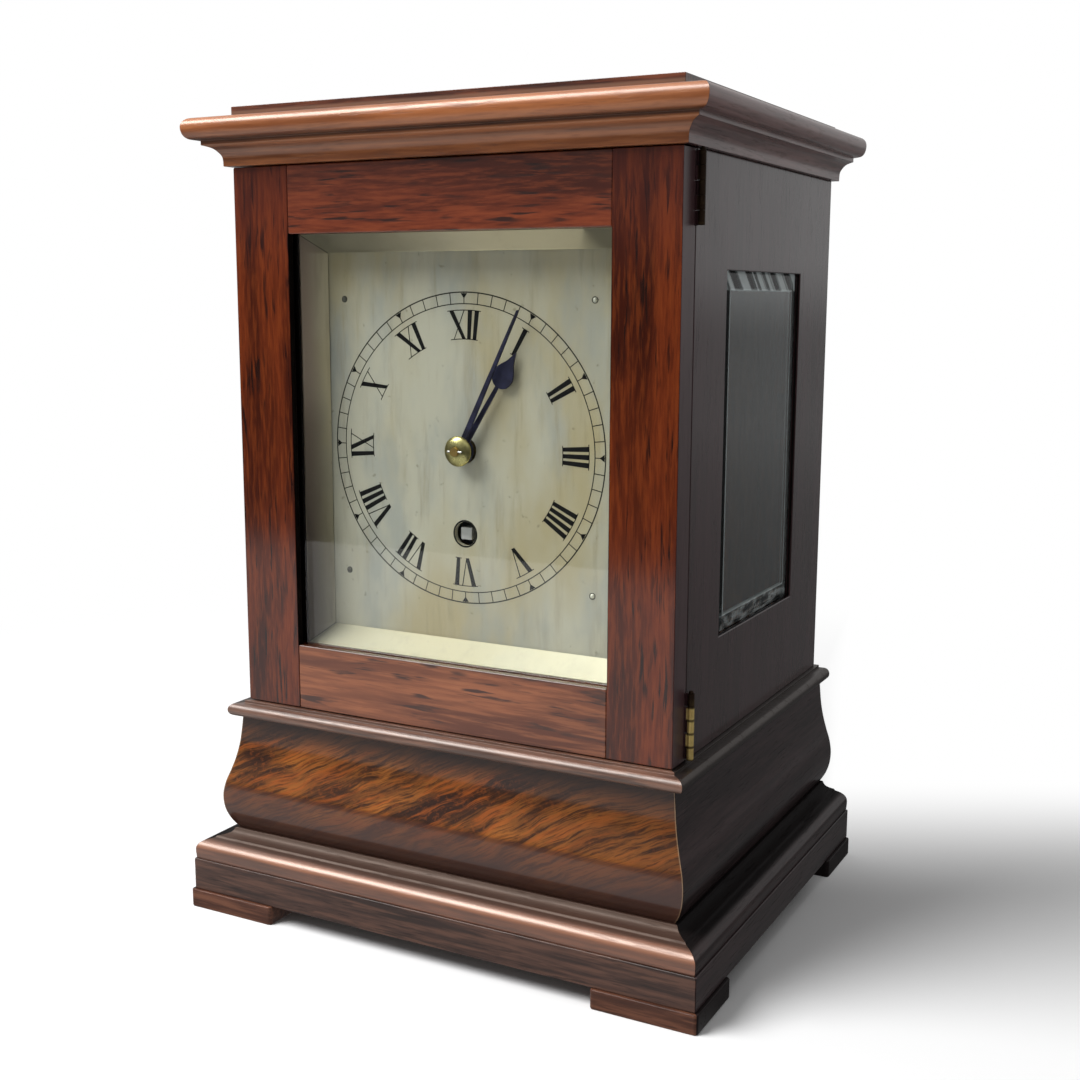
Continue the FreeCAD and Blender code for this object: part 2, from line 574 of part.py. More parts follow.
def make_rear_door():
    """Inset panelled door that turns on two pivots in its left stile."""
    half = S["case_half"] - S["side_thick"] - S["door_gap"]
    y0, y1 = S["rear_y"] - S["rear_thick"], S["rear_y"]
    z0, z1 = S["door_z0"], S["door_z1"]
    wide, deep = S["rear_stile"], S["groove_deep"]
    g0, g1 = y1 - S["rear_panel_front"] - S["glass_thick"], y1 - S["rear_panel_front"]
    low, top = z0 + wide, z1 - wide
    inner = half - wide
    pieces = []
    for side in (-1, 1):
        owner = block("rear_stile_piece", side * inner, side * half, y0, y1, z0, z1)
        cut_box(owner, side * (inner - deep), side * (inner + deep), g0, g1, low - deep, top + deep)
        if side < 0:
            edge_x = -(half - wide / 2).value
            soften(owner, S["rear_round"],
                   lambda box: upright(box) and box.XMax < edge_x)
            for foot, flip in ((z0, True), (z1, False)):
                hole = plane_sketch(owner, "XY_Plane", foot)
                draw_circle(hole, rear_pivot_x(), rear_pivot_y(), S["rear_pivot"])
                pocket(owner, hole, S["pivot_in"], flip=flip)
        else:
            hole = plane_sketch(owner, "XZ_Plane", -y0)
            draw_circle(hole, turn_x(), S["dial_z"], S["turn_neck"] + S["turn_clear"])
            pocket(owner, hole, S["rear_thick"])
        pieces.append(owner)
    for base, crown, edge, sign in ((z0, low, low, -1), (top, z1, top, 1)):
        owner = block("rear_rail_piece", -inner, inner, y0, y1, base, crown)
        cut_box(owner, -half, half, g0, g1, edge - sign * deep, edge + sign * deep)
        pieces.append(owner)
    group("rear_door_frame", pieces)
    reach = deep - S["panel_slack"]
    block("rear_door_panel", -inner - reach, inner + reach, g0, g1, low - reach, top + reach)
    pins = []
    for foot, start in ((z0, z0 - S["pivot_out"]), (z1, z1 - S["pivot_in"])):
        pin = body("rear_pivot_piece")
        sketch = plane_sketch(pin, "XY_Plane", start)
        draw_circle(sketch, rear_pivot_x(), rear_pivot_y(), S["rear_pivot"])
        pad(pin, sketch, S["pivot_in"] + S["pivot_out"])
        pins.append(pin)
    group("rear_door_pivots", pins)
    make_turn(y0, y1)


def turn_x():
    return S["case_half"] - S["side_thick"] - S["door_gap"] - S["rear_stile"] / 2


def make_turn(y0, y1):
    """Knob outside, bar inside: the bar swings behind the side panel's edge block."""
    owner = body("rear_door_turn", (turn_x(), ZERO, S["dial_z"]))
    slack, thick = S["turn_slack"], S["turn_bar_thick"]
    outline = plane_sketch(owner, "XY_Plane")
    neck, knob, high = S["turn_neck"], S["turn_radius"], S["turn_high"]
    rear = y0 - slack
    cap = [(knob * wide, y1 + slack + high * rise) for wide, rise in KNOB_SHARES]
    draw_points(outline, [(ZERO, rear - thick), (neck, rear - thick), (neck, y1 + slack)] + cap)
    revolve(owner, outline)
    bar = plane_sketch(owner, "XZ_Plane", -rear)
    draw_rect(bar, -S["turn_bar"] / 2, -S["turn_bar"], S["turn_bar"] / 2, S["turn_long"])
    pad(owner, bar, thick)


def make_dial():
    y, thick, z = S["dial_y"], S["dial_thick"], S["dial_z"]
    half, tall = S["dial_half_x"], S["dial_half_z"]
    owner = block("dial_plate", -half, half, y, y + thick, z - tall, z + tall)
    holes = plane_sketch(owner, "XZ_Plane", -y)
    draw_circle(holes, ZERO, z, S["hour_hole"])
    draw_circle(holes, ZERO, z - S["wind_drop"], S["wind_hole"])
    for x in (-S["dial_foot_x"], S["dial_foot_x"]):
        for high in (S["dial_foot_low"], S["dial_foot_top"]):
            draw_circle(holes, x, high, S["dial_rivet"])
    pocket(owner, holes, thick)
    feet = []
    reach = S["plate_y"] - y - thick
    for x in (-S["dial_foot_x"], S["dial_foot_x"]):
        for high in (S["dial_foot_low"], S["dial_foot_top"]):
            foot = body("dial_foot_piece", (x, y, high), facing())
            outline = plane_sketch(foot, "XZ_Plane")
            rivet, dome = S["dial_rivet"], S["dial_dome"]
            draw_points(outline, ((ZERO, -dome), (rivet * RIVET_SHARES[0], -dome * RIVET_SHARES[1]),
                                  (rivet, ZERO), (rivet, thick),
                                  (S["dial_foot"], thick), (S["dial_foot"], thick + reach),
                                  (rivet, thick + reach), (rivet, thick + reach + S["plate_thick"]),
                                  (ZERO, thick + reach + S["plate_thick"])))
            revolve(foot, outline)
            feet.append(foot)
    group("dial_feet", feet)


def gear_points(teeth, module, shares, count_turn=0.0):
    """Tooth outline: root, flank, shoulder and tip for each tooth, as sheet-bound points."""
    pitch = 2 * math.pi / teeth
    half = shares["tooth"] * pitch / 2
    add, ded = shares["add"], shares["ded"]
    rings = ((teeth / 2 - ded, half), (teeth / 2, half), (teeth / 2 + add * shares["shoulder"], half * shares["mid"]),
             (teeth / 2 + add, half * shares["tip"]))
    points = []
    for index in range(teeth):
        middle = pitch * (index + count_turn)
        for ring, turn in rings:
            points.append((ring * math.cos(middle - turn), ring * math.sin(middle - turn)))
        for ring, turn in reversed(rings):
            points.append((ring * math.cos(middle + turn), ring * math.sin(middle + turn)))
    return [FreeCAD.Vector(a * module, b * module, 0) for a, b in points]


def gear_solid(teeth, module, shares, start, thick, spin, count_turn=0.0):
    """A toothed disc about local Z; too many corners for sketch constraints, so a plain shape."""
    points = gear_points(teeth, module, shares, count_turn)
    wire = Part.makePolygon(points + points[:1])
    wire.rotate(FreeCAD.Vector(), FreeCAD.Vector(0, 0, 1), spin)
    wire.translate(FreeCAD.Vector(0, 0, start))
    return Part.Face(wire).extrude(FreeCAD.Vector(0, 0, thick))


def disc(radius, start, end, hole=0.0):
    solid = Part.makeCylinder(radius, end - start, FreeCAD.Vector(0, 0, start))
    if hole:
        solid = solid.cut(Part.makeCylinder(hole, end - start, FreeCAD.Vector(0, 0, start)))
    return solid


def crossed_out(wheel, rim, start, thick, spokes=4):
    """Cut the web of a wheel away between its spokes."""
    hub, spoke = LENGTHS["hub_radius"], LENGTHS["spoke_wide"]
    ring = disc(rim, start, start + thick, hub)
    for index in range(spokes):
        bar = Part.makeBox(rim * 2, spoke, thick, FreeCAD.Vector(0, -spoke / 2, start))
        bar.rotate(FreeCAD.Vector(), FreeCAD.Vector(0, 0, 1), 360.0 / spokes * index + 45.0)
        ring = ring.cut(bar)
    return wheel.cut(ring)


def shaped(name, solid, x, y, z, spin=0.0):
    """A plain-shape node; local Z runs to the rear from (x, y, z)."""
    feature = doc.addObject("Part::Feature", name)
    feature.Label = name
    feature.Shape = solid.removeSplitter()
    feature.Placement = FreeCAD.Placement(FreeCAD.Vector(x, y, z), facing(spin))
    made.append(feature)
    return feature


def number(name):
    return float(sheet.get(name))


def plate_back():
    return number("plate_y") + number("plate_thick")


def train():
    """Axes of the wheel train in the front view, (x, z)."""
    centre = (0.0, number("dial_z"))
    barrel = (0.0, centre[1] - number("wind_drop"))
    first = (COUNTS["barrel_teeth"] + COUNTS["second_leaves"]) * number("barrel_module") / 2
    second = (COUNTS["second_teeth"] + COUNTS["centre_leaves"]) * number("second_module") / 2
    gap = number("wind_drop")
    up = (first ** 2 - second ** 2 + gap ** 2) / (2 * gap)
    side = math.sqrt(first ** 2 - up ** 2)
    third = (COUNTS["centre_teeth"] + COUNTS["third_leaves"]) * number("centre_module") / 2
    left = number("third_left")
    rise = math.sqrt(third ** 2 - left ** 2)
    fourth = (COUNTS["third_teeth"] + COUNTS["escape_leaves"]) * number("third_module") / 2
    climb = math.sqrt(fourth ** 2 - left ** 2)
    motion = (COUNTS["cannon_teeth"] + COUNTS["minute_teeth"]) * number("cannon_module") / 2
    motion_x = number("motion_left")
    return {
        "centre": centre, "barrel": barrel, "second": (side, barrel[1] + up),
        "third": (-left, centre[1] + rise), "escape": (0.0, centre[1] + rise + climb),
        "pallet": (0.0, centre[1] + rise + climb + number("pallet_over")),
        "motion": (motion_x, centre[1] + math.sqrt(motion ** 2 - motion_x ** 2)),
    }


def local(name_from, name_to):
    """Direction from one axis to another as an angle in the wheels' own plane (local X, local Y)."""
    axes = train()
    a, b = axes[name_from], axes[name_to]
    return math.degrees(math.atan2(-(b[1] - a[1]), b[0] - a[0]))


def make_plates():
    y, thick, half = S["plate_y"], S["plate_thick"], S["plate_half"]
    z0, z1 = S["plate_z0"], S["plate_z1"]
    clear, pivot = number("run_clear"), number("pivot")
    axes = train()
    wide = number("arbor") + number("lock_clear")
    barrel_hole = number("barrel_arbor") + clear
    common = (("barrel", barrel_hole), ("second", pivot + clear), ("third", pivot + clear),
              ("escape", pivot + clear))
    front_holes = common + (("centre", wide), ("pallet", pivot + clear), ("motion", pivot + clear))
    back_holes = common + (("centre", pivot + clear), ("pallet", wide))
    inset = S["pillar_inset"]
    for name, start, holes in (("front_plate", y, front_holes),
                               ("back_plate", S["back_plate_y"], back_holes)):
        owner = block(name, -half, half, start, start + thick, z0, z1)
        soften(owner, S["plate_round"], lengthwise)
        bored = plane_sketch(owner, "XZ_Plane", -start)
        for x in (-S["pillar_x"], S["pillar_x"]):
            for high in (z0 + inset, z1 - inset):
                draw_circle(bored, x, high, S["pillar_tenon"])
        if name == "front_plate":
            for x in (-S["dial_foot_x"], S["dial_foot_x"]):
                for high in (S["dial_foot_low"], S["dial_foot_top"]):
                    draw_circle(bored, x, high, S["dial_rivet"])
            draw_circle(bored, size(click_axis()[0]), size(click_axis()[1]), size(pivot + clear))
        for axis, radius in holes:
            draw_circle(bored, size(axes[axis][0]), size(axes[axis][1]), size(radius))
        pocket(owner, bored, thick)
    pillars = []
    for x in (-S["pillar_x"], S["pillar_x"]):
        for high in (z0 + inset, z1 - inset):
            pillar = body("pillar_piece", (x, y, high), facing())
            outline = plane_sketch(pillar, "XZ_Plane")
            long, tenon, full = S["plates_apart"], S["pillar_tenon"], S["pillar"]
            waist = S["pillar_waist"]
            foot, neck = PILLAR_SHARES
            draw_points(outline, ((ZERO, ZERO), (tenon, ZERO), (tenon, thick), (full, thick),
                                  (full, thick + long * foot), (waist, thick + long * neck),
                                  (waist, thick + long * (1 - neck)), (full, thick + long * (1 - foot)),
                                  (full, thick + long), (tenon, thick + long),
                                  (tenon, thick * 2 + long), (ZERO, thick * 2 + long)))
            revolve(pillar, outline)
            pillars.append(pillar)
    group("plate_pillars", pillars)
    inner = S["case_half"] - S["side_thick"]
    block("seat_board", -inner, inner, S["seat_front"], S["seat_rear"], z0 - S["seat_thick"], z0)


def arbor_solid(start, end, front_pivot, rear_pivot):
    """A plain arbor with turned pivots at both ends."""
    radius, pivot = number("arbor"), number("pivot")
    solid = disc(radius, start, end)
    return solid.fuse([disc(pivot, start - front_pivot, start), disc(pivot, end, end + rear_pivot)])


def wheel_with_pinion(name, axis, teeth, module, level, leaves, pinion_module, pinion_level, spins):
    """Wheel, arbor and cut pinion as one turned piece between the plates."""
    thick, long = number("wheel_thick"), number("pinion_long")
    shake, plates = number("lock_clear"), number("plates_apart")
    pivot_long = number("plate_thick") + shake
    solid = arbor_solid(shake, plates - shake, pivot_long, pivot_long)
    wheel = gear_solid(teeth, module, WHEEL_SHARES, level, thick, spins[0])
    rim = (teeth / 2 - WHEEL_SHARES["ded"]) * module - number("rim_wide")
    wheel = crossed_out(wheel, rim, level, thick)
    leaf_root = (leaves / 2 - PINION_SHARES["ded"]) * pinion_module
    pinion = gear_solid(leaves, pinion_module, PINION_SHARES, pinion_level, long, spins[1])
    core = disc(leaf_root, pinion_level, pinion_level + long)
    if leaf_root < number("arbor"):
        solid = solid.cut(disc(number("arbor") * 2, pinion_level, pinion_level + long))
        solid = solid.fuse(core)
    solid = solid.fuse([wheel, pinion])
    x, z = train()[axis]
    return shaped(name, solid, x, plate_back(), z)


def mesh_spin(driver_spin, driver_teeth, driven_teeth, direction):
    """Spin of a driven wheel so a gap meets the driver's tooth along the line of centres."""
    pitch = 360.0 / driven_teeth
    offset = (direction - driver_spin) / (360.0 / driver_teeth)
    part = offset - math.floor(offset)
    return direction + math.degrees(math.pi) + pitch / 2 + part * pitch


def make_train():
    """The going train: tooth phases follow from the barrel onward."""
    counts = COUNTS
    plates, long, thick = number("plates_apart"), number("pinion_long"), number("wheel_thick")
    centre_spin = 0.0
    direction = local("centre", "second")
    second_wheel = mesh_spin(centre_spin, counts["centre_leaves"], counts["second_teeth"], direction)
    direction = local("second", "barrel")
    second_pinion = 0.0
    barrel_spin = mesh_spin(second_pinion, counts["second_leaves"], counts["barrel_teeth"], direction)
    direction = local("centre", "third")
    third_pinion = mesh_spin(0.0, counts["centre_teeth"], counts["third_leaves"], direction)
    direction = local("third", "escape")
    escape_pinion = mesh_spin(0.0, counts["third_teeth"], counts["escape_leaves"], direction)
    second_level, centre_level = number("second_level"), number("centre_level")
    flange = number("drum_front") + number("drum_long")
    wheel_with_pinion("intermediate_wheel", "second", counts["second_teeth"], number("second_module"),
                      second_level, counts["second_leaves"], number("barrel_module"),
                      flange + number("flange_thick") / 2 - long / 2, (second_wheel, second_pinion))
    wheel_with_pinion("third_wheel", "third", counts["third_teeth"], number("third_module"),
                      number("third_level"), counts["third_leaves"], number("centre_module"),
                      plates - number("lock_clear") - long, (0.0, third_pinion))
    make_centre(centre_spin, second_level + thick / 2 - long / 2, centre_level)
    make_escape(escape_pinion)
    make_barrel(barrel_spin, flange)


def make_centre(spin, pinion_level, level):
    """Centre arbor: pinion and wheel inside the plates, a long front end that carries the hands."""
    thick, long = number("wheel_thick"), number("pinion_long")
    shake, plates = number("lock_clear"), number("plates_apart")
    front = number("arbor_end") - plate_back()
    teeth, module = COUNTS["centre_teeth"], number("centre_module")
    solid = disc(number("arbor"), front, plates - shake)
    solid = solid.fuse(disc(number("pivot"), plates - shake, plates + number("plate_thick")))
    wheel = gear_solid(teeth, module, WHEEL_SHARES, level, thick, 0.0)
    wheel = crossed_out(wheel, (teeth / 2 - WHEEL_SHARES["ded"]) * module - number("rim_wide"), level, thick)
    pinion = gear_solid(COUNTS["centre_leaves"], number("second_module"), PINION_SHARES, pinion_level,
                        long, spin)
    hole_y = number("minute_hand_y") - number("collet_high") - plate_back() - number("taper_radius")
    pin_hole = Part.makeCylinder(number("taper_radius"), number("taper_long"),
                                 FreeCAD.Vector(-number("taper_long") / 2, 0, hole_y), FreeCAD.Vector(1, 0, 0))
    solid = solid.fuse([wheel, pinion]).cut(pin_hole)
    x, z = train()["centre"]
    shaped("centre_wheel", solid, x, plate_back(), z)
    shaped("hand_pin", pin_hole, x, plate_back(), z)


def make_escape(pinion_spin):
    thick, long = number("wheel_thick"), number("pinion_long")
    shake, plates = number("lock_clear"), number("plates_apart")
    level, radius = number("escape_level"), number("escape_radius")
    teeth = COUNTS["escape_teeth"]
    points = []
    for index in range(teeth):
        for ring, turn in ESCAPE_SHARES:
            angle = 2 * math.pi * (index + turn) / teeth
            points.append(FreeCAD.Vector(radius * ring * math.cos(angle), radius * ring * math.sin(angle), level))
    wheel = Part.Face(Part.makePolygon(points + points[:1])).extrude(FreeCAD.Vector(0, 0, thick))
    wheel = crossed_out(wheel, radius * ESCAPE_SHARES[0][0] - number("escape_rim"), level, thick)
    pivot_long = number("plate_thick") + shake
    solid = arbor_solid(shake, plates - shake, pivot_long, pivot_long)
    pinion_level = number("third_level") + thick / 2 - long / 2
    module = number("third_module")
    root = (COUNTS["escape_leaves"] / 2 - PINION_SHARES["ded"]) * module
    solid = solid.cut(disc(number("arbor") * 2, pinion_level, pinion_level + long))
    pinion = gear_solid(COUNTS["escape_leaves"], module, PINION_SHARES, pinion_level, long, pinion_spin)
    core = disc(root, pinion_level, pinion_level + long)
    solid = solid.fuse([core, pinion, wheel])
    x, z = train()["escape"]
    shaped("escape_wheel", solid, x, plate_back(), z)


def make_barrel(spin, flange):
    """Going barrel: drum with its tooth ring at the rear, the arbor, and the coiled spring inside."""
    start, radius, wall = number("drum_front"), number("drum_radius"), number("drum_wall")
    thick = number("flange_thick")
    end = flange + thick
    bore = number("barrel_arbor") + number("run_clear")
    drum = disc(radius, start, end)
    ring = gear_solid(COUNTS["barrel_teeth"], number("barrel_module"), WHEEL_SHARES, flange, thick, spin)
    hollow = disc(radius - wall, start + wall, end - wall)
    drum = drum.fuse(ring).cut(hollow).cut(disc(bore, start, end))
    x, z = train()["barrel"]
    shaped("barrel", drum, x, plate_back(), z)
    make_barrel_arbor(x, z, start, end)
    middle = (start + end) / 2
    spring_start = middle - number("spring_high") / 2
    outer = radius - wall
    points_in, points_out = [], []
    inner, pitch = number("spring_inner"), number("spring_pitch")
    half = number("spring_thick") / 2
    turns = (outer - half - inner - half) / pitch
    steps = int(turns * 24)
    for index in range(steps + 1):
        angle = 2 * math.pi * turns * index / steps
        ring_at = inner + half + pitch * turns * index / steps
        for side, target in ((-half, points_in), (half, points_out)):
            target.append(FreeCAD.Vector((ring_at + side) * math.cos(angle), (ring_at + side) * math.sin(angle),
                                         spring_start))
    loop = points_in + points_out[::-1]
    coil = Part.Face(Part.makePolygon(loop + loop[:1])).extrude(FreeCAD.Vector(0, 0, number("spring_high")))
    coil = coil.common(disc(outer, spring_start, spring_start + number("spring_high")))
    shaped("mainspring", coil, x, plate_back(), z)


def make_barrel_arbor(x, z, start, end):
    plates, plate = number("plates_apart"), number("plate_thick")
    radius, shake = number("barrel_arbor"), number("barrel_shake")
    front = number("square_end") - plate_back()
    solid = disc(radius, -plate - number("ratchet_gap"), plates + plate)
    for low, high in ((shake, start - shake), (end + shake, plates - shake)):
        solid = solid.fuse(disc(radius + number("rim_wide") / 2, low, high))
    core = disc(radius + number("rim_wide"), start + number("drum_wall") + shake,
                end - number("drum_wall") - shake)
    side = number("square_side")
    square = Part.makeBox(side, side, -plate - number("ratchet_gap") - front,
                          FreeCAD.Vector(-side / 2, -side / 2, front))
    solid = solid.fuse([core, square])
    shaped("barrel_arbor", solid, x, plate_back(), z)
    teeth, outer, deep = COUNTS["ratchet_teeth"], number("ratchet_radius"), number("ratchet_deep")
    thick = number("ratchet_thick")
    level = -plate - number("ratchet_gap") - thick
    points = []
    for index in range(teeth):
        for ring, turn in zip((outer - deep, outer, outer), RATCHET_SHARES):
            angle = 2 * math.pi * (index + turn) / teeth
            points.append(FreeCAD.Vector(ring * math.cos(angle), ring * math.sin(angle), level))
    wheel = Part.Face(Part.makePolygon(points + points[:1])).extrude(FreeCAD.Vector(0, 0, thick))
    wheel = wheel.cut(Part.makeBox(side, side, thick, FreeCAD.Vector(-side / 2, -side / 2, level)))
    shaped("ratchet_wheel", wheel, x, plate_back(), z)
    make_click(level)


def click_axis():
    """The click's screw: beside the ratchet and above it, so the nose hangs just clear of the tips."""
    x, z = train()["barrel"]
    reach = number("ratchet_radius") + number("click_gap") + number("click_wide") / 2
    return x - reach, z + number("click_long")


def make_click(level):
    """Click on its own shouldered screw."""
    plate, long, deep = number("plate_thick"), number("click_long"), number("click_thick")
    half, gap = number("click_wide") / 2, number("click_gap")
    corners = [(-half, 0.0), (half, 0.0), (half, long), (half / 2, long), (-half, long - half * 3)]
    spots = [FreeCAD.Vector(a, b, level) for a, b in corners]
    nose = Part.Face(Part.makePolygon(spots + spots[:1])).extrude(FreeCAD.Vector(0, 0, deep))
    screw = number("pivot")
    solid = disc(number("click_hub"), level, level + deep).fuse(nose)
    solid = solid.fuse([disc(screw * 2, level + deep, -plate), disc(screw, -plate, 0.0),
                        disc(screw * 2 + gap, level - number("motion_thick"), level)])
    x, z = click_axis()
    shaped("click", solid, x, plate_back(), z)


def make_pallets():
    """Anchor over the escape wheel, its arbor, and the crutch behind the back plate."""
    plates, plate, shake = number("plates_apart"), number("plate_thick"), number("lock_clear")
    thick, wide = number("anchor_thick"), number("anchor_wide")
    level = number("escape_level") + number("wheel_thick") / 2 - thick / 2
    crutch_at = number("crutch_y") - plate_back()
    cock_at = number("cock_y") - plate_back()
    solid = disc(number("arbor"), shake, cock_at - shake)
    solid = solid.fuse([disc(number("pivot"), -plate, shake),
                        disc(number("pivot"), cock_at - shake, cock_at + number("cock_thick"))])
    over, radius = number("pallet_over"), number("escape_radius")
    hub = disc(number("hub_radius"), level, level + thick)
    reach = radius + number("anchor_gap")
    ring = disc(reach + wide, level, level + thick, reach)
    ring.translate(FreeCAD.Vector(0, over, 0))
    span = math.radians(number("anchor_span"))
    far = (reach + wide) * 3
    edge = [FreeCAD.Vector(0, over, level),
            FreeCAD.Vector(-far * math.sin(span), over - far * math.cos(span), level),
            FreeCAD.Vector(far * math.sin(span), over - far * math.cos(span), level)]
    wedge = Part.Face(Part.makePolygon(edge + edge[:1])).extrude(FreeCAD.Vector(0, 0, thick))
    anchor = ring.common(wedge).fuse(hub)
    solid = solid.fuse(anchor)
    drop, half, deep = number("crutch_drop"), number("crutch_half"), number("crutch_thick")
    solid = solid.fuse(disc(number("hub_radius"), crutch_at, crutch_at + deep))
    solid = solid.fuse(Part.makeBox(half * 2, drop, deep, FreeCAD.Vector(-half, 0, crutch_at)))
    fork, gap = number("fork_half"), number("fork_gap")
    reach_y = number("pendulum_y") + number("rod_radius") + shake - number("crutch_y")
    bar = Part.makeBox(fork * 2, half * 2, deep, FreeCAD.Vector(-fork, drop - half, crutch_at))
    solid = solid.fuse(bar)
    for side in (-1, 1):
        low = gap if side > 0 else -fork
        prong = Part.makeBox(fork - gap, half * 2, reach_y, FreeCAD.Vector(low, drop - half, crutch_at))
        solid = solid.fuse(prong)
    x, z = train()["pallet"]
    shaped("pallets", solid, x, plate_back(), z)


def make_motion():
    """Cannon pinion, minute wheel and hour wheel in front of the front plate."""
    gap, thick, plate = number("motion_gap"), number("motion_thick"), number("plate_thick")
    counts = COUNTS
    module, hour_module = number("cannon_module"), number("hour_module")
    x, z = train()["centre"]
    mx, mz = train()["motion"]
    base = -plate - gap
    low = base - thick - gap
    minute_back = number("minute_hand_y") + number("hand_thick") - plate_back()
    direction = local("centre", "motion")
    cannon = gear_solid(counts["cannon_teeth"], module, WHEEL_SHARES, base - thick - gap / 2, thick + gap / 2, 0.0)
    pipe = disc(number("cannon_outer"), minute_back, base)
    cannon = cannon.fuse(pipe).cut(disc(number("cannon_bore"), minute_back - thick, base + thick))
    shaped("cannon_pinion", cannon, x, plate_back(), z)
    minute_spin = mesh_spin(0.0, counts["cannon_teeth"], counts["minute_teeth"], direction)
    wheel = gear_solid(counts["minute_teeth"], module, WHEEL_SHARES, base - thick, thick, minute_spin)
    leaf_spin = 0.0
    leaf_low = low - thick - gap
    leaves = gear_solid(counts["minute_leaves"], hour_module, PINION_SHARES, leaf_low, base - thick - leaf_low,
                        leaf_spin)
    post = disc(number("pivot"), base - thick, 0.0)
    boss = disc(number("pivot") * 2, base, -plate)
    shaped("minute_wheel", wheel.fuse([leaves, post, boss]), mx, plate_back(), mz)
    back = local("motion", "centre")
    hour_spin = mesh_spin(leaf_spin, counts["minute_leaves"], counts["hour_teeth"], back)
    hour_back = number("hour_hand_y") + number("hand_thick") - plate_back()
    hour = gear_solid(counts["hour_teeth"], hour_module, WHEEL_SHARES, low - thick, thick, hour_spin)
    hour = hour.fuse(disc(number("hour_outer"), number("hour_hand_y") - plate_back(), low))
    hour = hour.cut(disc(number("hour_bore"), hour_back - thick * 2, low + thick))
    shaped("hour_wheel", hour, x, plate_back(), z)


def hand_blank(points, boss, hole, thick):
    """A flat hand along local -Y (up) with a round boss."""
    both = points + [(-a, b) for a, b in reversed(points)]
    spots = [FreeCAD.Vector(a, -b, 0) for a, b in both]
    blade = Part.Face(Part.makePolygon(spots + spots[:1])).extrude(FreeCAD.Vector(0, 0, thick))
    return blade.fuse(disc(boss, 0.0, thick)).cut(disc(hole, -thick, thick * 2))


def make_hands():
    thick = number("hand_thick")
    x, z = train()["centre"]
    reach, head, half = number("hour_reach"), number("spade_long"), number("spade_half")
    neck, root = number("hour_neck"), number("hour_root")
    swell = [(half * wide, reach - head * along) for wide, along in SPADE_SHARES]
    spade = [(root, 0.0), (neck, reach - head)] + swell + [(number("hour_tip"), reach)]
    hour = hand_blank(spade, number("hand_boss"), number("hour_outer"), thick)
    shaped("hour_hand", hour, x, number("hour_hand_y"), z, number("hour_turn"))
    needle = [(number("minute_root"), 0.0), (number("minute_tip"), number("minute_reach"))]
    minute = hand_blank(needle, number("minute_boss"), number("arbor"), thick)
    shaped("minute_hand", minute, x, number("minute_hand_y"), z, number("minute_turn"))
    owner = body("hand_collet", (size(x), S["minute_hand_y"], S["dial_z"]), facing())
    outline = plane_sketch(owner, "XZ_Plane")
    wide, high, bore = S["collet_radius"], S["collet_high"], S["arbor"]
    dome = [(wide * out, -high * rise) for out, rise in COLLET_SHARES]
    draw_points(outline, [(bore, ZERO)] + dome + [(bore, -high)])
    revolve(owner, outline)


def make_pendulum():
    """Back cock with a slotted stud, suspension spring, rod and bob."""
    x, z = train()["pallet"]
    plate_rear = number("plates_rear_y")
    y, thick, half = number("cock_y"), number("cock_thick"), number("cock_half")
    low, top, lug = z - number("cock_down"), z + number("cock_up"), number("cock_lug")
    cock = Part.makeBox(half * 2, thick, top - low, FreeCAD.Vector(-half, y, low))
    for side in (-1, 1):
        start = -half if side < 0 else half - lug
        cock = cock.fuse(Part.makeBox(lug, y - plate_rear, top - low, FreeCAD.Vector(start, plate_rear, low)))
    stud_half, stud_low, stud_top = number("stud_half"), z - number("stud_down"), z + number("stud_up")
    stud = Part.makeBox(stud_half * 2, number("stud_long"), stud_top - stud_low,
                        FreeCAD.Vector(-stud_half, y + thick, stud_low))
    cock = cock.fuse(stud)
    pivot = number("pivot") + number("run_clear")
    cock = cock.cut(Part.makeCylinder(pivot, thick, FreeCAD.Vector(x, y, z), FreeCAD.Vector(0, 1, 0)))
    slit, middle = number("slit_half"), number("pendulum_y")
    strip_half = number("spring_half") + number("cross_clear")
    cock = cock.cut(Part.makeBox(slit * 2, strip_half * 2, z - stud_low + number("cross_pin"),
                                 FreeCAD.Vector(-slit, middle - strip_half, stud_low)))
    hole = number("cross_pin") + number("cross_clear")
    cock = cock.cut(Part.makeBox(stud_half * 2, hole * 2, stud_top - z + hole,
                                 FreeCAD.Vector(-stud_half, middle - hole, z - hole)))
    feature = doc.addObject("Part::Feature", "back_cock")
    feature.Label = "back_cock"
    feature.Shape = cock.removeSplitter()
    made.append(feature)
    drop, wide = number("spring_drop"), number("spring_half")
    strip_thick = number("spring_strip")
    strap = Part.makeBox(strip_thick * 2, wide * 2, drop, FreeCAD.Vector(-strip_thick, middle - wide, z - drop))
    pin_half = number("cross_pin_half")
    pin = Part.makeCylinder(number("cross_pin"), pin_half * 2, FreeCAD.Vector(-pin_half, middle, z),
                            FreeCAD.Vector(1, 0, 0))
    feature = doc.addObject("Part::Feature", "suspension_spring")
    feature.Label = "suspension_spring"
    feature.Shape = strap.fuse(pin).removeSplitter()
    made.append(feature)
    make_rod_and_bob(x, middle, z, drop)


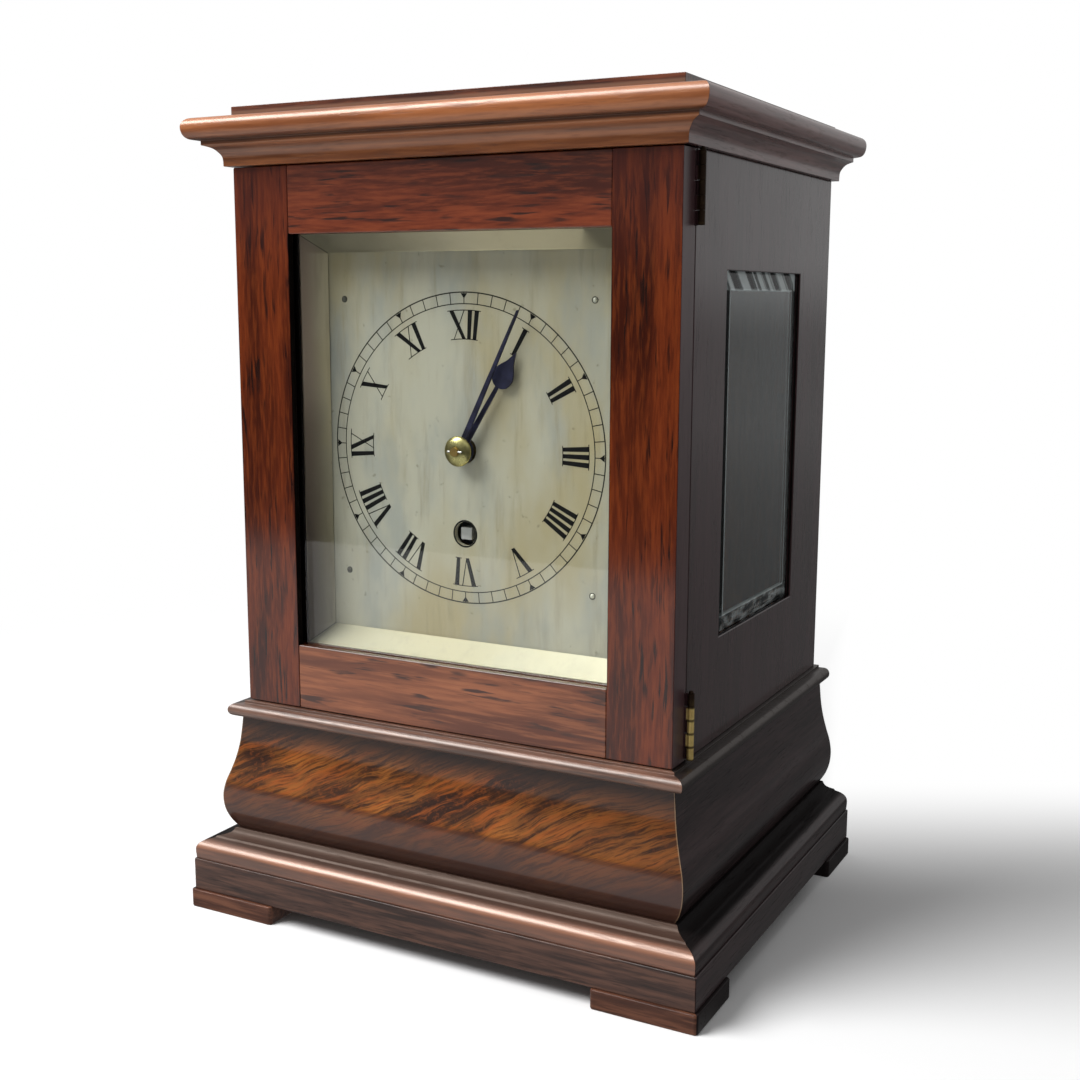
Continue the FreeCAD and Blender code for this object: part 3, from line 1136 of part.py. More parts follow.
def make_rod_and_bob(x, middle, z, drop):
    rod, block_half = number("rod_radius"), number("block_half")
    foot = number("waist_top") + number("rod_clear")
    piece = Part.makeCylinder(rod, z - drop - foot, FreeCAD.Vector(x, middle, foot))
    clamp = Part.makeBox(block_half * 2, block_half * 2, number("block_high"),
                         FreeCAD.Vector(x - block_half, middle - block_half, z - drop - number("spring_half")))
    slot = number("spring_strip")
    bob_z = foot + number("bob_up")
    radius, deep = number("bob_radius"), number("bob_thick")
    nut, high = number("nut_radius"), number("nut_high")
    nut_top = bob_z - radius
    nut_piece = Part.makeCylinder(nut, high, FreeCAD.Vector(x, middle, nut_top - high))
    slot_box = Part.makeBox(slot * 2, number("spring_half") * 2, drop,
                            FreeCAD.Vector(x - slot, middle - number("spring_half"), z - drop))
    feature = doc.addObject("Part::Feature", "pendulum_rod")
    feature.Label = "pendulum_rod"
    feature.Shape = piece.fuse([clamp, nut_piece]).cut(slot_box).removeSplitter()
    made.append(feature)
    profile = [FreeCAD.Vector(radius * out, -deep * rise, 0) for out, rise in BOB_SHARES]
    profile += [FreeCAD.Vector(radius * out, deep * rise, 0) for out, rise in reversed(BOB_SHARES)]
    lens = Part.Face(Part.makePolygon(profile + profile[:1])).revolve(
        FreeCAD.Vector(), FreeCAD.Vector(0, 1, 0), 360)
    lens.translate(FreeCAD.Vector(x, middle, bob_z))
    lens = lens.cut(Part.makeCylinder(rod + number("run_clear"), radius * 2, FreeCAD.Vector(x, middle, bob_z - radius)))
    feature = doc.addObject("Part::Feature", "pendulum_bob")
    feature.Label = "pendulum_bob"
    feature.Shape = lens.removeSplitter()
    made.append(feature)


def write_parts():
    doc.recompute()
    for item in made:
        states = [state for state in item.State if state in ("Invalid", "Error")]
        if states or item.Shape.isNull() or not item.Shape.isValid():
            raise ValueError("%s is not valid: %s" % (item.Label, states))
    for item in made:
        item.Shape.exportStep("parts/%s.step" % item.Label)
    print("%d nodes written" % len(made))


make_base()
make_waist()
make_sides()
make_top()
make_door()
make_hinges()
make_rear_door()
make_dial()
make_plates()
make_train()
make_pallets()
make_motion()
make_hands()
make_pendulum()
write_parts()
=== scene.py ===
import json
import math

import bmesh
import bpy
from mathutils import Matrix, Vector


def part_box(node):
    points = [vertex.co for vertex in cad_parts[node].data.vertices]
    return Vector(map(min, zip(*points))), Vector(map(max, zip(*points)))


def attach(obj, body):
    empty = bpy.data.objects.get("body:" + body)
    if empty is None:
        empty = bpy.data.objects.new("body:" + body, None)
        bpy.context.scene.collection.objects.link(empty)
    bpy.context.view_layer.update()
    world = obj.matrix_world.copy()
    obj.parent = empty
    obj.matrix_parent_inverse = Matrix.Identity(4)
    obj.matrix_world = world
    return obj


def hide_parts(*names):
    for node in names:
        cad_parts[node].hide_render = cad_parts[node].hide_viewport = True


# The library clock's looks: metres, dial toward -Y, feet on z = 0.
MM = 0.001
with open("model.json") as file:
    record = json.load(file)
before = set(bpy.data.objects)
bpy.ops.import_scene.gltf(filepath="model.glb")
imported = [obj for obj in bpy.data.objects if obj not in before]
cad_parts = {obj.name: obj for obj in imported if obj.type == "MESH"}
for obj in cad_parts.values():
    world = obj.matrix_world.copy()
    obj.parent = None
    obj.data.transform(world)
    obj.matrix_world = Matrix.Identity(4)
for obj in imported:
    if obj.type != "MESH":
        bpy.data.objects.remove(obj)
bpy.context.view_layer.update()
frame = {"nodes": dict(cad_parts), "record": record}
NODES = frame["nodes"]
BODY_OF = {node: body for body, nodes in frame["record"]["behaviour"]["bodies"].items()
           for node in nodes}

# The case: its front plane, its half width, and how far the mouldings reach inside it.
FRONT = -59.5 * MM
CASE_HALF = 75.0 * MM
STRIP_IN = 6.0 * MM

# The front door: the stiles' inner faces, the rails' inner ends and the rebate behind the glass.
STILE_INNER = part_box("door_stile_right")[0].x
RAIL_ENDS = (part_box("door_rail_bottom")[1].z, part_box("door_rail_top")[0].z)
REBATE_EASE = 0.6 * MM
REBATE = (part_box("door_glass")[1].x + REBATE_EASE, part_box("door_stile_right")[0].y + REBATE_EASE)

# The hinges: five knuckles each, darkened above a line by tarnish and by painted shade; the leaves end at
# the leaf line.
HINGE_AXIS = Vector((76.6 * MM, -50.35 * MM))
HINGE_SLIM = 0.76
HINGE_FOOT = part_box("hinge_door_leaves")[0].z
HINGE_PITCH = 19.6 * MM / 5
HINGE_TARNISH_AND_SHADE = (84.6 * MM, 86.0 * MM)
HINGE_LEAF = (75.75 * MM, 75.35 * MM)

# The side windows: the panes' outer face, their bevel and the colours of the painted shade and painted
# glints on its bands.
PANE_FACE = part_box("side_glass_right")[1].x
PANE_BEVEL = 8.4 * MM
PANE_PAINTED_SHADE, PANE_PAINTED_GLINT = (0.012, 0.014, 0.014, 1.0), (0.78, 0.86, 0.86, 1.0)

# The dial, and the inner edge of the surround around it.
DIAL_CENTRE = (0.0, 154.15 * MM)
DIAL_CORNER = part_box("dial_plate")[1]
SURROUND_CENTRE = DIAL_CENTRE[1] + 0.15 * MM
SURROUND_HALF = (DIAL_CORNER.x - 4.0 * MM, DIAL_CORNER.z - DIAL_CENTRE[1] - 3.1 * MM)
SURROUND_WIDE = 5.0 * MM


# Nodes and shader arithmetic

def new_node(tree, kind, inputs, settings):
    """A node with its inputs linked or set, and its settings."""
    made = tree.nodes.new(kind)
    for field, value in settings.items():
        setattr(made, field, value)
    for key, value in inputs.items():
        value = getattr(value, "socket", value)
        if isinstance(value, bpy.types.NodeSocket):
            tree.links.new(value, made.inputs[key])
        else:
            made.inputs[key].default_value = value
    return made


class Amount:
    """A shader socket that takes plain arithmetic."""

    def __init__(self, finish, socket):
        self.finish = finish
        self.socket = socket

    def worked(self, operation, other=None, swap=False):
        pair = (self,) if other is None else ((other, self) if swap else (self, other))
        return self.finish.node("ShaderNodeMath", dict(enumerate(pair)), operation=operation)

    def __add__(self, other):
        return self.worked("ADD", other)

    def __radd__(self, other):
        return self.worked("ADD", other, True)

    def __sub__(self, other):
        return self.worked("SUBTRACT", other)

    def __rsub__(self, other):
        return self.worked("SUBTRACT", other, True)

    def __mul__(self, other):
        return self.worked("MULTIPLY", other)

    def __rmul__(self, other):
        return self.worked("MULTIPLY", other, True)

    def __abs__(self):
        return self.worked("ABSOLUTE")

    def ramp(self, low, high, start=0.0, end=1.0):
        """A soft step of this amount between low and high."""
        return self.finish.node("ShaderNodeMapRange", {0: self, 1: low, 2: high, 3: start, 4: end},
                                interpolation_type="SMOOTHSTEP")


class Finish:
    """A material, or the world, built node by node."""

    def __init__(self, name, world=None):
        self.owner = world or bpy.data.materials.new(name)
        self.owner.use_nodes = True
        self.tree = self.owner.node_tree
        self.tree.nodes.clear()

    def node(self, kind, inputs=None, output=0, **settings):
        return Amount(self, new_node(self.tree, kind, inputs or {}, settings).outputs[output])

    def vector(self, operation, *inputs, output=0):
        return self.node("ShaderNodeVectorMath", dict(enumerate(inputs)), output,
                         operation=operation)

    def place(self, scale=(1.0, 1.0, 1.0), turn=(0.0, 0.0, 0.0), warp=None):
        """Object coordinates in metres, turned and then stretched."""
        spot = self.node("ShaderNodeTexCoord", output="Object")
        if warp is not None:
            spot = self.vector("ADD", spot, warp)
        return self.node("ShaderNodeMapping",
                         {0: spot, 2: turn, 3: tuple(1.0 / step for step in scale)},
                         vector_type="TEXTURE")

    def along(self, axis):
        """One object coordinate, in metres."""
        spot = self.node("ShaderNodeTexCoord", output="Object")
        return self.node("ShaderNodeSeparateXYZ", {0: spot}, "XYZ".index(axis))

    def noise(self, scale, seed, detail=3.0, rough=0.5, turn=(0.0, 0.0, 0.0), warp=None, output=0):
        """Noise with so many steps per metre, alike or along each axis, turned and bent."""
        steps = scale if isinstance(scale, tuple) else (scale,) * 3
        return self.node("ShaderNodeTexNoise",
                         {"Vector": self.place(steps, turn, warp), "W": seed, "Scale": 1.0,
                          "Detail": detail, "Roughness": rough}, output, noise_dimensions="4D")

    def shift(self, scale, seed, amount, turn=(0.0, 0.0, 0.0)):
        """A wandering offset vector, for bending a grain."""
        swirl = self.noise(scale, seed, turn=turn, output=1)
        centred = self.vector("SUBTRACT", swirl, (0.5, 0.5, 0.5))
        return self.vector("MULTIPLY", centred, (amount, amount, amount))

    def blend(self, share, first, second):
        return self.node("ShaderNodeMix", {0: share, 6: first, 7: second}, 2, data_type="RGBA")

    def layered(self, tone, *layers):
        """Layers of (share, screen colour) over a screen colour or over a tone mixed before."""
        if isinstance(tone, tuple):
            tone = tint(*tone)
        for share, colour in layers:
            tone = self.blend(share, tone, tint(*colour))
        return tone

    def bump(self, height, depth, strength):
        return self.node("ShaderNodeBump", {"Strength": strength, "Distance": depth, "Height": height})

    def mixed(self, share, first, second):
        """Two shaders, mixed by a share."""
        return self.node("ShaderNodeMixShader", {0: share, 1: first, 2: second})

    def surface(self, shader):
        new_node(self.tree, "ShaderNodeOutputMaterial", {"Surface": shader}, {})
        return self.owner

    def coated(self, **inputs):
        """The main shader; its inputs are named with underscores for spaces."""
        named = {key.replace("_", " "): value for key, value in inputs.items()}
        return self.node("ShaderNodeBsdfPrincipled", named)

    def painted(self, **inputs):
        """The material, finished with the main shader alone."""
        return self.surface(self.coated(**inputs))


def tint(red, green, blue):
    """A linear colour from a 0-255 screen colour."""
    parts = []
    for level in (red, green, blue):
        share = level / 255.0
        parts.append(share / 12.92 if share <= 0.04045 else ((share + 0.055) / 1.055) ** 2.4)
    return tuple(parts) + (1.0,)


WHITE = (1.0, 1.0, 1.0, 1.0)
SIDE_TONE = (60, 35, 38)


# Wood finishes

def grain_scale(along, across, lengthwise):
    """Stretch per metre for each axis, with the grain running along one of them."""
    return tuple(lengthwise if axis == along else across for axis in "XYZ")


def past_mitre(finish):
    """How far a point lies past the case's front mitres: above 0 on the side returns."""
    return abs(finish.along("X")) + finish.along("Y") - (CASE_HALF + FRONT)


CRACK_HALF = (0.2 * MM, 0.08 * MM)
CRACK_FADE = 6.0 * MM
CRACK_FOOT = (206.0 * MM, 207.0 * MM)
CRACK_TONE = (14, 8, 8)
# Painted shade in the reveals of openings.
REVEAL_SHADE_TONE = (13, 8, 7)


def painted_light_and_wear_bar(finish, broad, level, half, share):
    """A level band, broken up by the broad grain: painted shade and painted highlights on the mouldings
    and the low rail, wear on the top's edge.
    """
    return abs(finish.along("Z") - level).ramp(half, half * 0.3) * (broad + 0.5) * share


def crack(finish, place, top):
    """An upright split in the veneer, above the side window."""
    tall = finish.along("Z")
    split = abs(finish.along("Y") - place).ramp(*CRACK_HALF)
    return split * tall.ramp(top, top - CRACK_FADE) * tall.ramp(*CRACK_FOOT) * 0.7


def shaded_reveal(finish, reveal_shade, rebate):
    """Where the faces of an opening lie, out of the light: the mask of their painted shade."""
    outer, inner, low, high = reveal_shade
    apart = abs(finish.along("X"))
    reveal = apart.ramp(outer, outer - 0.18 * MM) * apart.ramp(inner - 0.2 * MM, inner)
    if rebate is not None:
        behind = finish.along("Y").ramp(rebate[1], rebate[1] + 0.3 * MM)
        reveal = reveal.worked("MAXIMUM", behind * apart.ramp(rebate[0] + 0.2 * MM, rebate[0]))
    tall = finish.along("Z")
    return reveal * tall.ramp(low - 0.3 * MM, low) * tall.ramp(high + 0.3 * MM, high)


def rosewood(name, along, seed, tones, pores, wave=0.0015, rough=0.42, coat=1.0, gloss=0.12,
             stripe=1.0, sheen=0.1, line=700.0, run=0.055, fleck=1500.0, glow=WHITE, depth=0.5,
             painted_shade_veil=None, painted_light_and_wear_bars=(), cracks=(), returns=None, dull=0.0, reveal_shade=None, rebate=None):
    """Polished rosewood: bands, lines and short pores; painted shade and reflection above a height, level
    bands of painted shade, painted highlight and wear, cracks, side returns, and painted shade in
    reveals.

    The tones are the dark, middle and light wood and the pores, as screen colours.
    """
    finish = Finish(name)
    dark, middle, light, pore = tones
    bend = finish.shift(grain_scale(along, 45.0, 16.0), seed + 7.0, wave)
    broad = finish.noise(grain_scale(along, 95.0, 9.0), seed, 4.0, 0.55, warp=bend)
    lines = finish.noise(grain_scale(along, line, line * run), seed + 1.0, 4.0, 0.62, warp=bend)
    dashes = finish.noise(grain_scale(along, fleck, fleck * 0.08), seed + 2.0, 2.0, warp=bend)
    groups = finish.noise(grain_scale(along, 260.0, 60.0), seed + 3.0, 2.0, warp=bend)
    pitted = dashes.ramp(0.52, 0.64) * groups.ramp(0.4, 0.62)
    layers = [(broad.ramp(0.36, 0.62), middle), (lines.ramp(0.46, 0.64) * (0.8 * stripe), light),
              (lines.ramp(0.5, 0.36) * (0.85 * stripe), dark), (pitted * pores, pore)]
    # Painted shade and reflection above a height, with the polish dulled under it.
    if painted_shade_veil is not None:
        low, high, share, colour = painted_shade_veil
        painted_shade_share = finish.along("Z").ramp(low, high) * share
        layers.append((painted_shade_share, colour))
        coat = coat * (1.0 - painted_shade_share)
        rough = rough + painted_shade_share * 0.3
    # Level bands of painted shade, painted highlight and wear.
    layers += [(painted_light_and_wear_bar(finish, broad, *measures), colour) for *measures, colour in painted_light_and_wear_bars]
    layers += [(crack(finish, *measures), CRACK_TONE) for measures in cracks]
    # Side returns: the side wood's own tone on the stiles, painted shade and dirt on the waist, painted
    # shade on the feet.
    if returns is not None:
        turned_back = past_mitre(finish).ramp(-0.1 * MM, 0.1 * MM)
        layers.append((turned_back, returns))
        coat = coat * (1.0 - turned_back * dull)
    # Painted shade in the reveals of an opening, where the polish is taken off too.
    if reveal_shade is not None:
        reveal = shaded_reveal(finish, reveal_shade, rebate)
        layers.append((reveal, REVEAL_SHADE_TONE))
        coat = coat * (1.0 - reveal)
    worn = finish.noise(38.0, seed + 4.0, 4.0)
    polish = rough + (worn - 0.5) * 0.16 + pitted * 0.2
    relief = finish.bump(1.0 - pitted + lines * 0.25, 0.00006, depth)
    return finish.painted(Base_Color=finish.layered(dark, *layers), Roughness=polish,
                          Normal=relief, Coat_Weight=coat, Coat_Roughness=gloss,
                          Specular_IOR_Level=sheen, Specular_Tint=glow)


# Painted shade and reflection on the ogee's lower part, fading out between these heights.
OGEE_PAINTED_SHADE = (42.0 * MM, 40.8 * MM)
OGEE_HEART = (30.0 * MM, 39.0 * MM, 62.0 * MM, 52.0 * MM)
VENEER_LEAN = (0.0, math.radians(-27.0), 0.0)


def figured_rosewood(name, seed, tones):
    """Figured veneer: golden clouds combed by fine dark lines that climb to the right.

    The tones are the dark, golden, amber and pore colours, the pale mitre line and the painted shade and
    reflection on the lower part.
    """
    finish = Finish(name)
    dark, golden, amber, pore, pale_mitre_line, painted_shade_veil = tones
    bend = finish.shift((24.0, 24.0, 30.0), seed + 5.0, 0.011, VENEER_LEAN)
    curl = finish.shift((90.0, 90.0, 130.0), seed + 6.0, 0.0019, VENEER_LEAN)
    both = finish.vector("ADD", bend, curl)
    clouds = finish.noise((16.0, 30.0, 60.0), seed, 4.0, 0.55, VENEER_LEAN, both)
    veins = finish.noise((40.0, 90.0, 560.0), seed + 1.0, 5.0, 0.62, VENEER_LEAN, both)
    combs = finish.noise((120.0, 300.0, 2000.0), seed + 2.0, 4.0, 0.6, VENEER_LEAN, both)
    mottle = finish.noise((520.0, 520.0, 760.0), seed + 3.0, 3.0, 0.6, VENEER_LEAN)
    tall = finish.along("Z") + (clouds - 0.5) * 0.016
    heart = tall.ramp(*OGEE_HEART[:2]) * tall.ramp(*OGEE_HEART[2:])
    heart = heart * finish.along("X").ramp(10.0 * MM, 70.0 * MM, 1.0, 0.4)
    ridge = abs(past_mitre(finish)).ramp(0.5 * MM, 0.2 * MM)
    tone = finish.layered(
        dark, (clouds.ramp(0.36, 0.6) * (0.12 + heart * 0.88), golden),
        (veins.ramp(0.5, 0.62) * heart * 0.7, amber), (veins.ramp(0.5, 0.4) * 0.85, dark),
        (combs.ramp(0.47, 0.64) * 0.6, pore), (mottle.ramp(0.5, 0.7) * 0.3 * heart, amber),
        # Painted shade and reflection on the lower part; a pale line along the mitre.
        (finish.along("Z").ramp(*OGEE_PAINTED_SHADE) * 0.66, painted_shade_veil), (ridge * 0.75, pale_mitre_line))
    cut = combs.ramp(0.5, 0.7)
    return finish.painted(Base_Color=tone, Roughness=0.4 + cut * 0.12, Coat_Weight=0.65,
                          Coat_Roughness=0.12, Specular_IOR_Level=0.1,
                          Normal=finish.bump(1.0 - cut, 0.00004, 0.4))


def wood_finishes():
    copper = (1.0, 0.8, 0.66, 1.0)
    plain = ((56, 26, 16), (98, 50, 30), (124, 68, 42), (40, 22, 16))
    return {
        "stile": rosewood(
            "door_stile_rosewood", "Z", 1.0, ((55, 18, 7), (105, 43, 17), (141, 66, 26), (34, 13, 8)),
            pores=0.95, returns=SIDE_TONE, sheen=0.03, wave=0.0042, line=860.0, run=0.09, stripe=0.42,
            # Painted shade in the door opening's reveal and rebate.
            fleck=1000.0, reveal_shade=(STILE_INNER + 0.3 * MM, 0.0, *RAIL_ENDS), rebate=REBATE,
            # Painted shade and reflection on the tops of the stiles, under the cornice.
            painted_shade_veil=(200.0 * MM, 245.0 * MM, 0.35, (86, 42, 40))),
        # The stiles' outer faces: pale greyish tones under a rougher coat, a painted sheen in place of
        # the reflection the coat no longer gives.
        "stile_side": rosewood(
            "door_stile_side_rosewood_painted_sheen", "Z", 4.0,
            ((66, 44, 46), (78, 56, 58), (88, 64, 66), (44, 28, 30)), pores=0.12,
            stripe=0.35, depth=0.08, coat=0.75, gloss=0.3),
        "rail": rosewood(
            "door_rail_rosewood", "X", 12.0, ((69, 27, 16), (123, 56, 32), (149, 73, 40), (46, 24, 19)),
            pores=0.95, run=0.1, line=760.0, stripe=0.55, wave=0.0032, fleck=900.0),
        "low_rail": rosewood(
            "door_low_rail_rosewood", "X", 17.0,
            ((96, 50, 32), (152, 90, 58), (178, 110, 72), (62, 38, 31)), pores=0.95,
            stripe=0.5, fleck=900.0, wave=0.0032,
            # Painted shade along the rail's top edge, over the light its softened edge would catch.
            painted_light_and_wear_bars=((RAIL_ENDS[0], 0.6 * MM, 0.85, (54, 32, 25)),)),
        "cornice": rosewood(
            "cornice_rosewood", "X", 23.0, ((116, 63, 34), (172, 103, 60), (190, 120, 73), (92, 50, 30)),
            pores=0.35, stripe=0.5, coat=0.5, gloss=0.24, rough=0.32, sheen=0.6, glow=copper,
            # Painted shade under the nose and in the cove, and a painted highlight on the fillet's arris.
            painted_light_and_wear_bars=((246.6 * MM, 0.9 * MM, 0.75, (48, 24, 16)), (244.1 * MM, 1.1 * MM, 0.4, (58, 32, 24)),
                  (245.4 * MM, 0.4 * MM, 0.45, (206, 146, 108)))),
        "ogee": figured_rosewood(
            "ogee_figured_rosewood", 31.0, ((52, 31, 22), (170, 103, 44), (158, 82, 33), (32, 19, 14),
                                            (150, 124, 96), (76, 49, 42))),
        "waist": rosewood(
            "waist_rosewood", "X", 44.0, ((64, 40, 31), (104, 70, 55), (128, 90, 72), (46, 30, 26)),
            # Painted shade and dirt on the waist's side returns.
            pores=0.5, gloss=0.36, sheen=0.6, glow=copper, returns=(24, 18, 19), dull=0.8),
        "ovolo": rosewood(
            "plinth_moulding_rosewood", "X", 52.0,
            ((70, 36, 24), (112, 64, 43), (134, 80, 54), (50, 29, 21)), pores=0.3, stripe=0.6,
            coat=0.75, gloss=0.34, rough=0.33, sheen=0.8, glow=copper,
            # Painted shade in the cove above the nose, and a painted highlight along the nose.
            painted_shade_veil=(22.2 * MM, 22.9 * MM, 0.9, (44, 25, 18)),
            painted_light_and_wear_bars=((21.2 * MM, 1.5 * MM, 0.32, (206, 148, 116)),)),
        "plinth": rosewood(
            "plinth_rosewood", "X", 61.0, ((46, 31, 26), (78, 53, 44), (98, 68, 55), (35, 24, 21)),
            pores=0.6, rough=0.5, coat=0.5, gloss=0.3),
        "foot": rosewood(
            "foot_rosewood", "X", 66.0, ((66, 38, 28), (100, 62, 46), (118, 76, 56), (46, 28, 22)),
            # Painted shade on the feet's side and rear faces.
            pores=0.5, rough=0.5, coat=0.35, gloss=0.3, returns=(30, 22, 22), dull=0.7),
        "side": rosewood(
            "side_rosewood", "Z", 71.0, ((46, 25, 26), SIDE_TONE, (70, 43, 46), (34, 19, 21)),
            pores=0.12, gloss=0.1, stripe=0.35, depth=0.08,
            cracks=((-16.5 * MM, 215.5 * MM), (29.5 * MM, 235.0 * MM)),
            # Painted shade in the side window's reveal.
            reveal_shade=(CASE_HALF - 0.4 * MM, PANE_FACE, 0.0, 0.3)),
        "cornice_end": rosewood(
            "cornice_end_rosewood", "Y", 75.0, ((82, 54, 52), (112, 77, 73), (134, 95, 89), (64, 43, 41)),
            pores=0.3, gloss=0.2, stripe=0.6),
        "end": rosewood(
            "moulding_end_rosewood", "Y", 78.0, ((37, 26, 27), (55, 40, 41), (69, 52, 52), (29, 20, 21)),
            pores=0.3, coat=0.5, gloss=0.2, stripe=0.6),
        "ovolo_end": rosewood(
            "plinth_moulding_end_rosewood", "Y", 80.0,
            ((34, 23, 23), (50, 34, 34), (62, 44, 43), (27, 19, 19)), pores=0.3,
            # Painted shade in the cove of the side lengths.
            coat=0.45, gloss=0.2, stripe=0.6, painted_shade_veil=(22.0 * MM, 22.8 * MM, 0.95, (12, 8, 8))),
        "top": rosewood("top_rosewood", "X", 83.0, plain, pores=0.45,
                        painted_light_and_wear_bars=((255.1 * MM, 1.1 * MM, 0.5, (150, 118, 96)),)),
        "rear_stile": rosewood("rear_stile_rosewood", "Z", 87.0, plain, pores=0.45),
        "inner": rosewood(
            "inner_mahogany", "Z", 91.0, ((88, 52, 32), (122, 76, 48), (140, 92, 60), (70, 42, 28)),
            pores=0.4, rough=0.6, coat=0.0),
    }


# Metals and glass

def brass(name, seed, clean, aged, rough, tarnish=0.5):
    """Turned brass, stained in patches."""
    finish = Finish(name)
    stain = finish.noise(160.0, seed, 5.0, 0.6)
    lines = finish.noise((1400.0, 1400.0, 90.0), seed + 1.0, 2.0)
    tone = finish.layered(clean, (stain.ramp(0.4, 0.68) * tarnish, aged))
    polish = rough + stain.ramp(0.4, 0.7) * 0.2 + (lines - 0.5) * 0.1
    return finish.painted(Base_Color=tone, Metallic=1.0, Roughness=polish,
                          Normal=finish.bump(lines, 0.00002, 0.3))


def hinge_brass(name, seed, clean, aged, black):
    """Brass gone brown: darkened high up by tarnish and by painted shade, and in the leaves; rubbed clean
    on the lower knuckles.
    """
    finish = Finish(name)
    stain = finish.noise(240.0, seed, 4.0, 0.6)
    tall = finish.along("Z")
    # Darker above a line: tarnish on the lower hinge's top knuckles, painted shade on the upper hinge
    # under the cornice.
    tarnish_and_shade = tall.ramp(*HINGE_TARNISH_AND_SHADE)
    joint = (tall - HINGE_FOOT).worked("PINGPONG", HINGE_PITCH / 2).ramp(0.5 * MM, 0.25 * MM)
    leaf = finish.along("X").ramp(*HINGE_LEAF)
    tone = finish.layered(clean, (stain.ramp(0.42, 0.66) * 0.6, aged),
                          (tarnish_and_shade * (0.86 + stain * 0.28), black), (joint * 0.75, black),
                          (leaf, SIDE_TONE))
    return finish.painted(Base_Color=tone, Metallic=(1.0 - leaf) * (0.65 - tarnish_and_shade * 0.3),
                          Roughness=0.34 + stain * 0.24, Specular_IOR_Level=0.1, Coat_Weight=leaf,
                          Coat_Roughness=0.12)


def strips_with_painted_light(finish, tone):
    """The surround's strips: painted shade on the top and left strips, painted light on the bottom strip,
    with dark mitres.
    """
    half_x, half_z = SURROUND_HALF
    across = finish.along("X")
    height = finish.along("Z") - SURROUND_CENTRE
    beyond = (abs(across) - half_x) - (abs(height) - half_z)
    above = height.ramp(half_z - 0.5 * MM, half_z + 0.5 * MM)
    below = height.ramp(0.5 * MM - half_z, -0.5 * MM - half_z)
    left = across.ramp(0.1 * MM - half_x, -half_x - SURROUND_WIDE, 0.3, 1.0)
    left = left * across.ramp(0.2 * MM - half_x, -0.1 * MM - half_x)
    left = left * beyond.ramp(-0.2 * MM, 0.2 * MM)
    mitre = abs(beyond).ramp(0.3 * MM, 0.12 * MM)
    # Painted shade above and at the left, painted light below; the mitres are dark joints.
    return finish.layered(tone, (above * 0.85, (144, 136, 113)), (below * 0.6, (240, 235, 212)),
                          (left, (152, 134, 120)), (mitre * 0.75, (52, 48, 40)))


def silvered(name, seed, pale, yellow, grey, rough, strips=False):
    """Silvered brass, brushed upright, with yellowed and greyed patches."""
    finish = Finish(name)
    patch = finish.noise((30.0, 30.0, 13.0), seed, 4.0, 0.55)
    cloud = finish.noise((46.0, 46.0, 18.0), seed + 1.0, 4.0, 0.6)
    streak = finish.noise((240.0, 240.0, 26.0), seed + 2.0, 4.0, 0.65)
    brush = finish.noise((5200.0, 5200.0, 60.0), seed + 3.0, 2.0)
    speck = finish.noise(420.0, seed + 4.0)
    tone = finish.layered(pale, (patch.ramp(0.4, 0.64), yellow), (cloud.ramp(0.44, 0.66) * 0.75, grey),
                          (streak.ramp(0.5, 0.72) * 0.4, (146, 132, 104)),
                          (speck.ramp(0.66, 0.74) * 0.4, (104, 98, 76)))
    # Painted shade and painted light on the surround's strips.
    if strips:
        tone = strips_with_painted_light(finish, tone)
    polish = rough + (brush - 0.5) * 0.2 + cloud.ramp(0.4, 0.7) * 0.1
    return finish.painted(Base_Color=tone, Metallic=0.15, Roughness=polish,
                          Normal=finish.bump(brush * 0.5 + streak, 0.00002, 0.35))


def dial_rivet(name, seed, pale, dark):
    """Rivet ends in the dial's corners: dark on the left, pale on the right."""
    finish = Finish(name)
    stain = finish.noise(900.0, seed)
    left = finish.along("X").ramp(5.0 * MM, -5.0 * MM)
    tone = finish.layered(pale, (left * (0.7 + stain * 0.3), dark))
    return finish.painted(Base_Color=tone, Metallic=0.4, Roughness=0.35 + stain * 0.2)


def steel(name, seed, bright, dull, rough=0.28, metal=1.0):
    """Polished steel, hazed in patches."""
    finish = Finish(name)
    lines = finish.noise(900.0, seed)
    haze = finish.noise(140.0, seed + 1.0)
    tone = finish.layered(bright, (haze.ramp(0.38, 0.64), dull))
    return finish.painted(Base_Color=tone, Metallic=metal, Roughness=rough + (lines - 0.5) * 0.16)


def clear_pane(name, seed):
    """Thin glass: what is behind shows straight through, with a faint reflection on top."""
    finish = Finish(name)
    relief = finish.bump(finish.noise(9.0, seed, 1.0), 0.0004, 0.25)
    clear = finish.node("ShaderNodeBsdfTransparent", {"Color": (0.99, 1.0, 0.99, 1.0)})
    shine = finish.node("ShaderNodeBsdfGlossy", {"Color": WHITE, "Roughness": 0.02, "Normal": relief})
    grazing = finish.node("ShaderNodeLayerWeight", {"Blend": 0.5}, "Facing")
    share = 0.028 + grazing.worked("POWER", 5.0) * 0.9
    return finish.surface(finish.mixed(share, clear, shine))


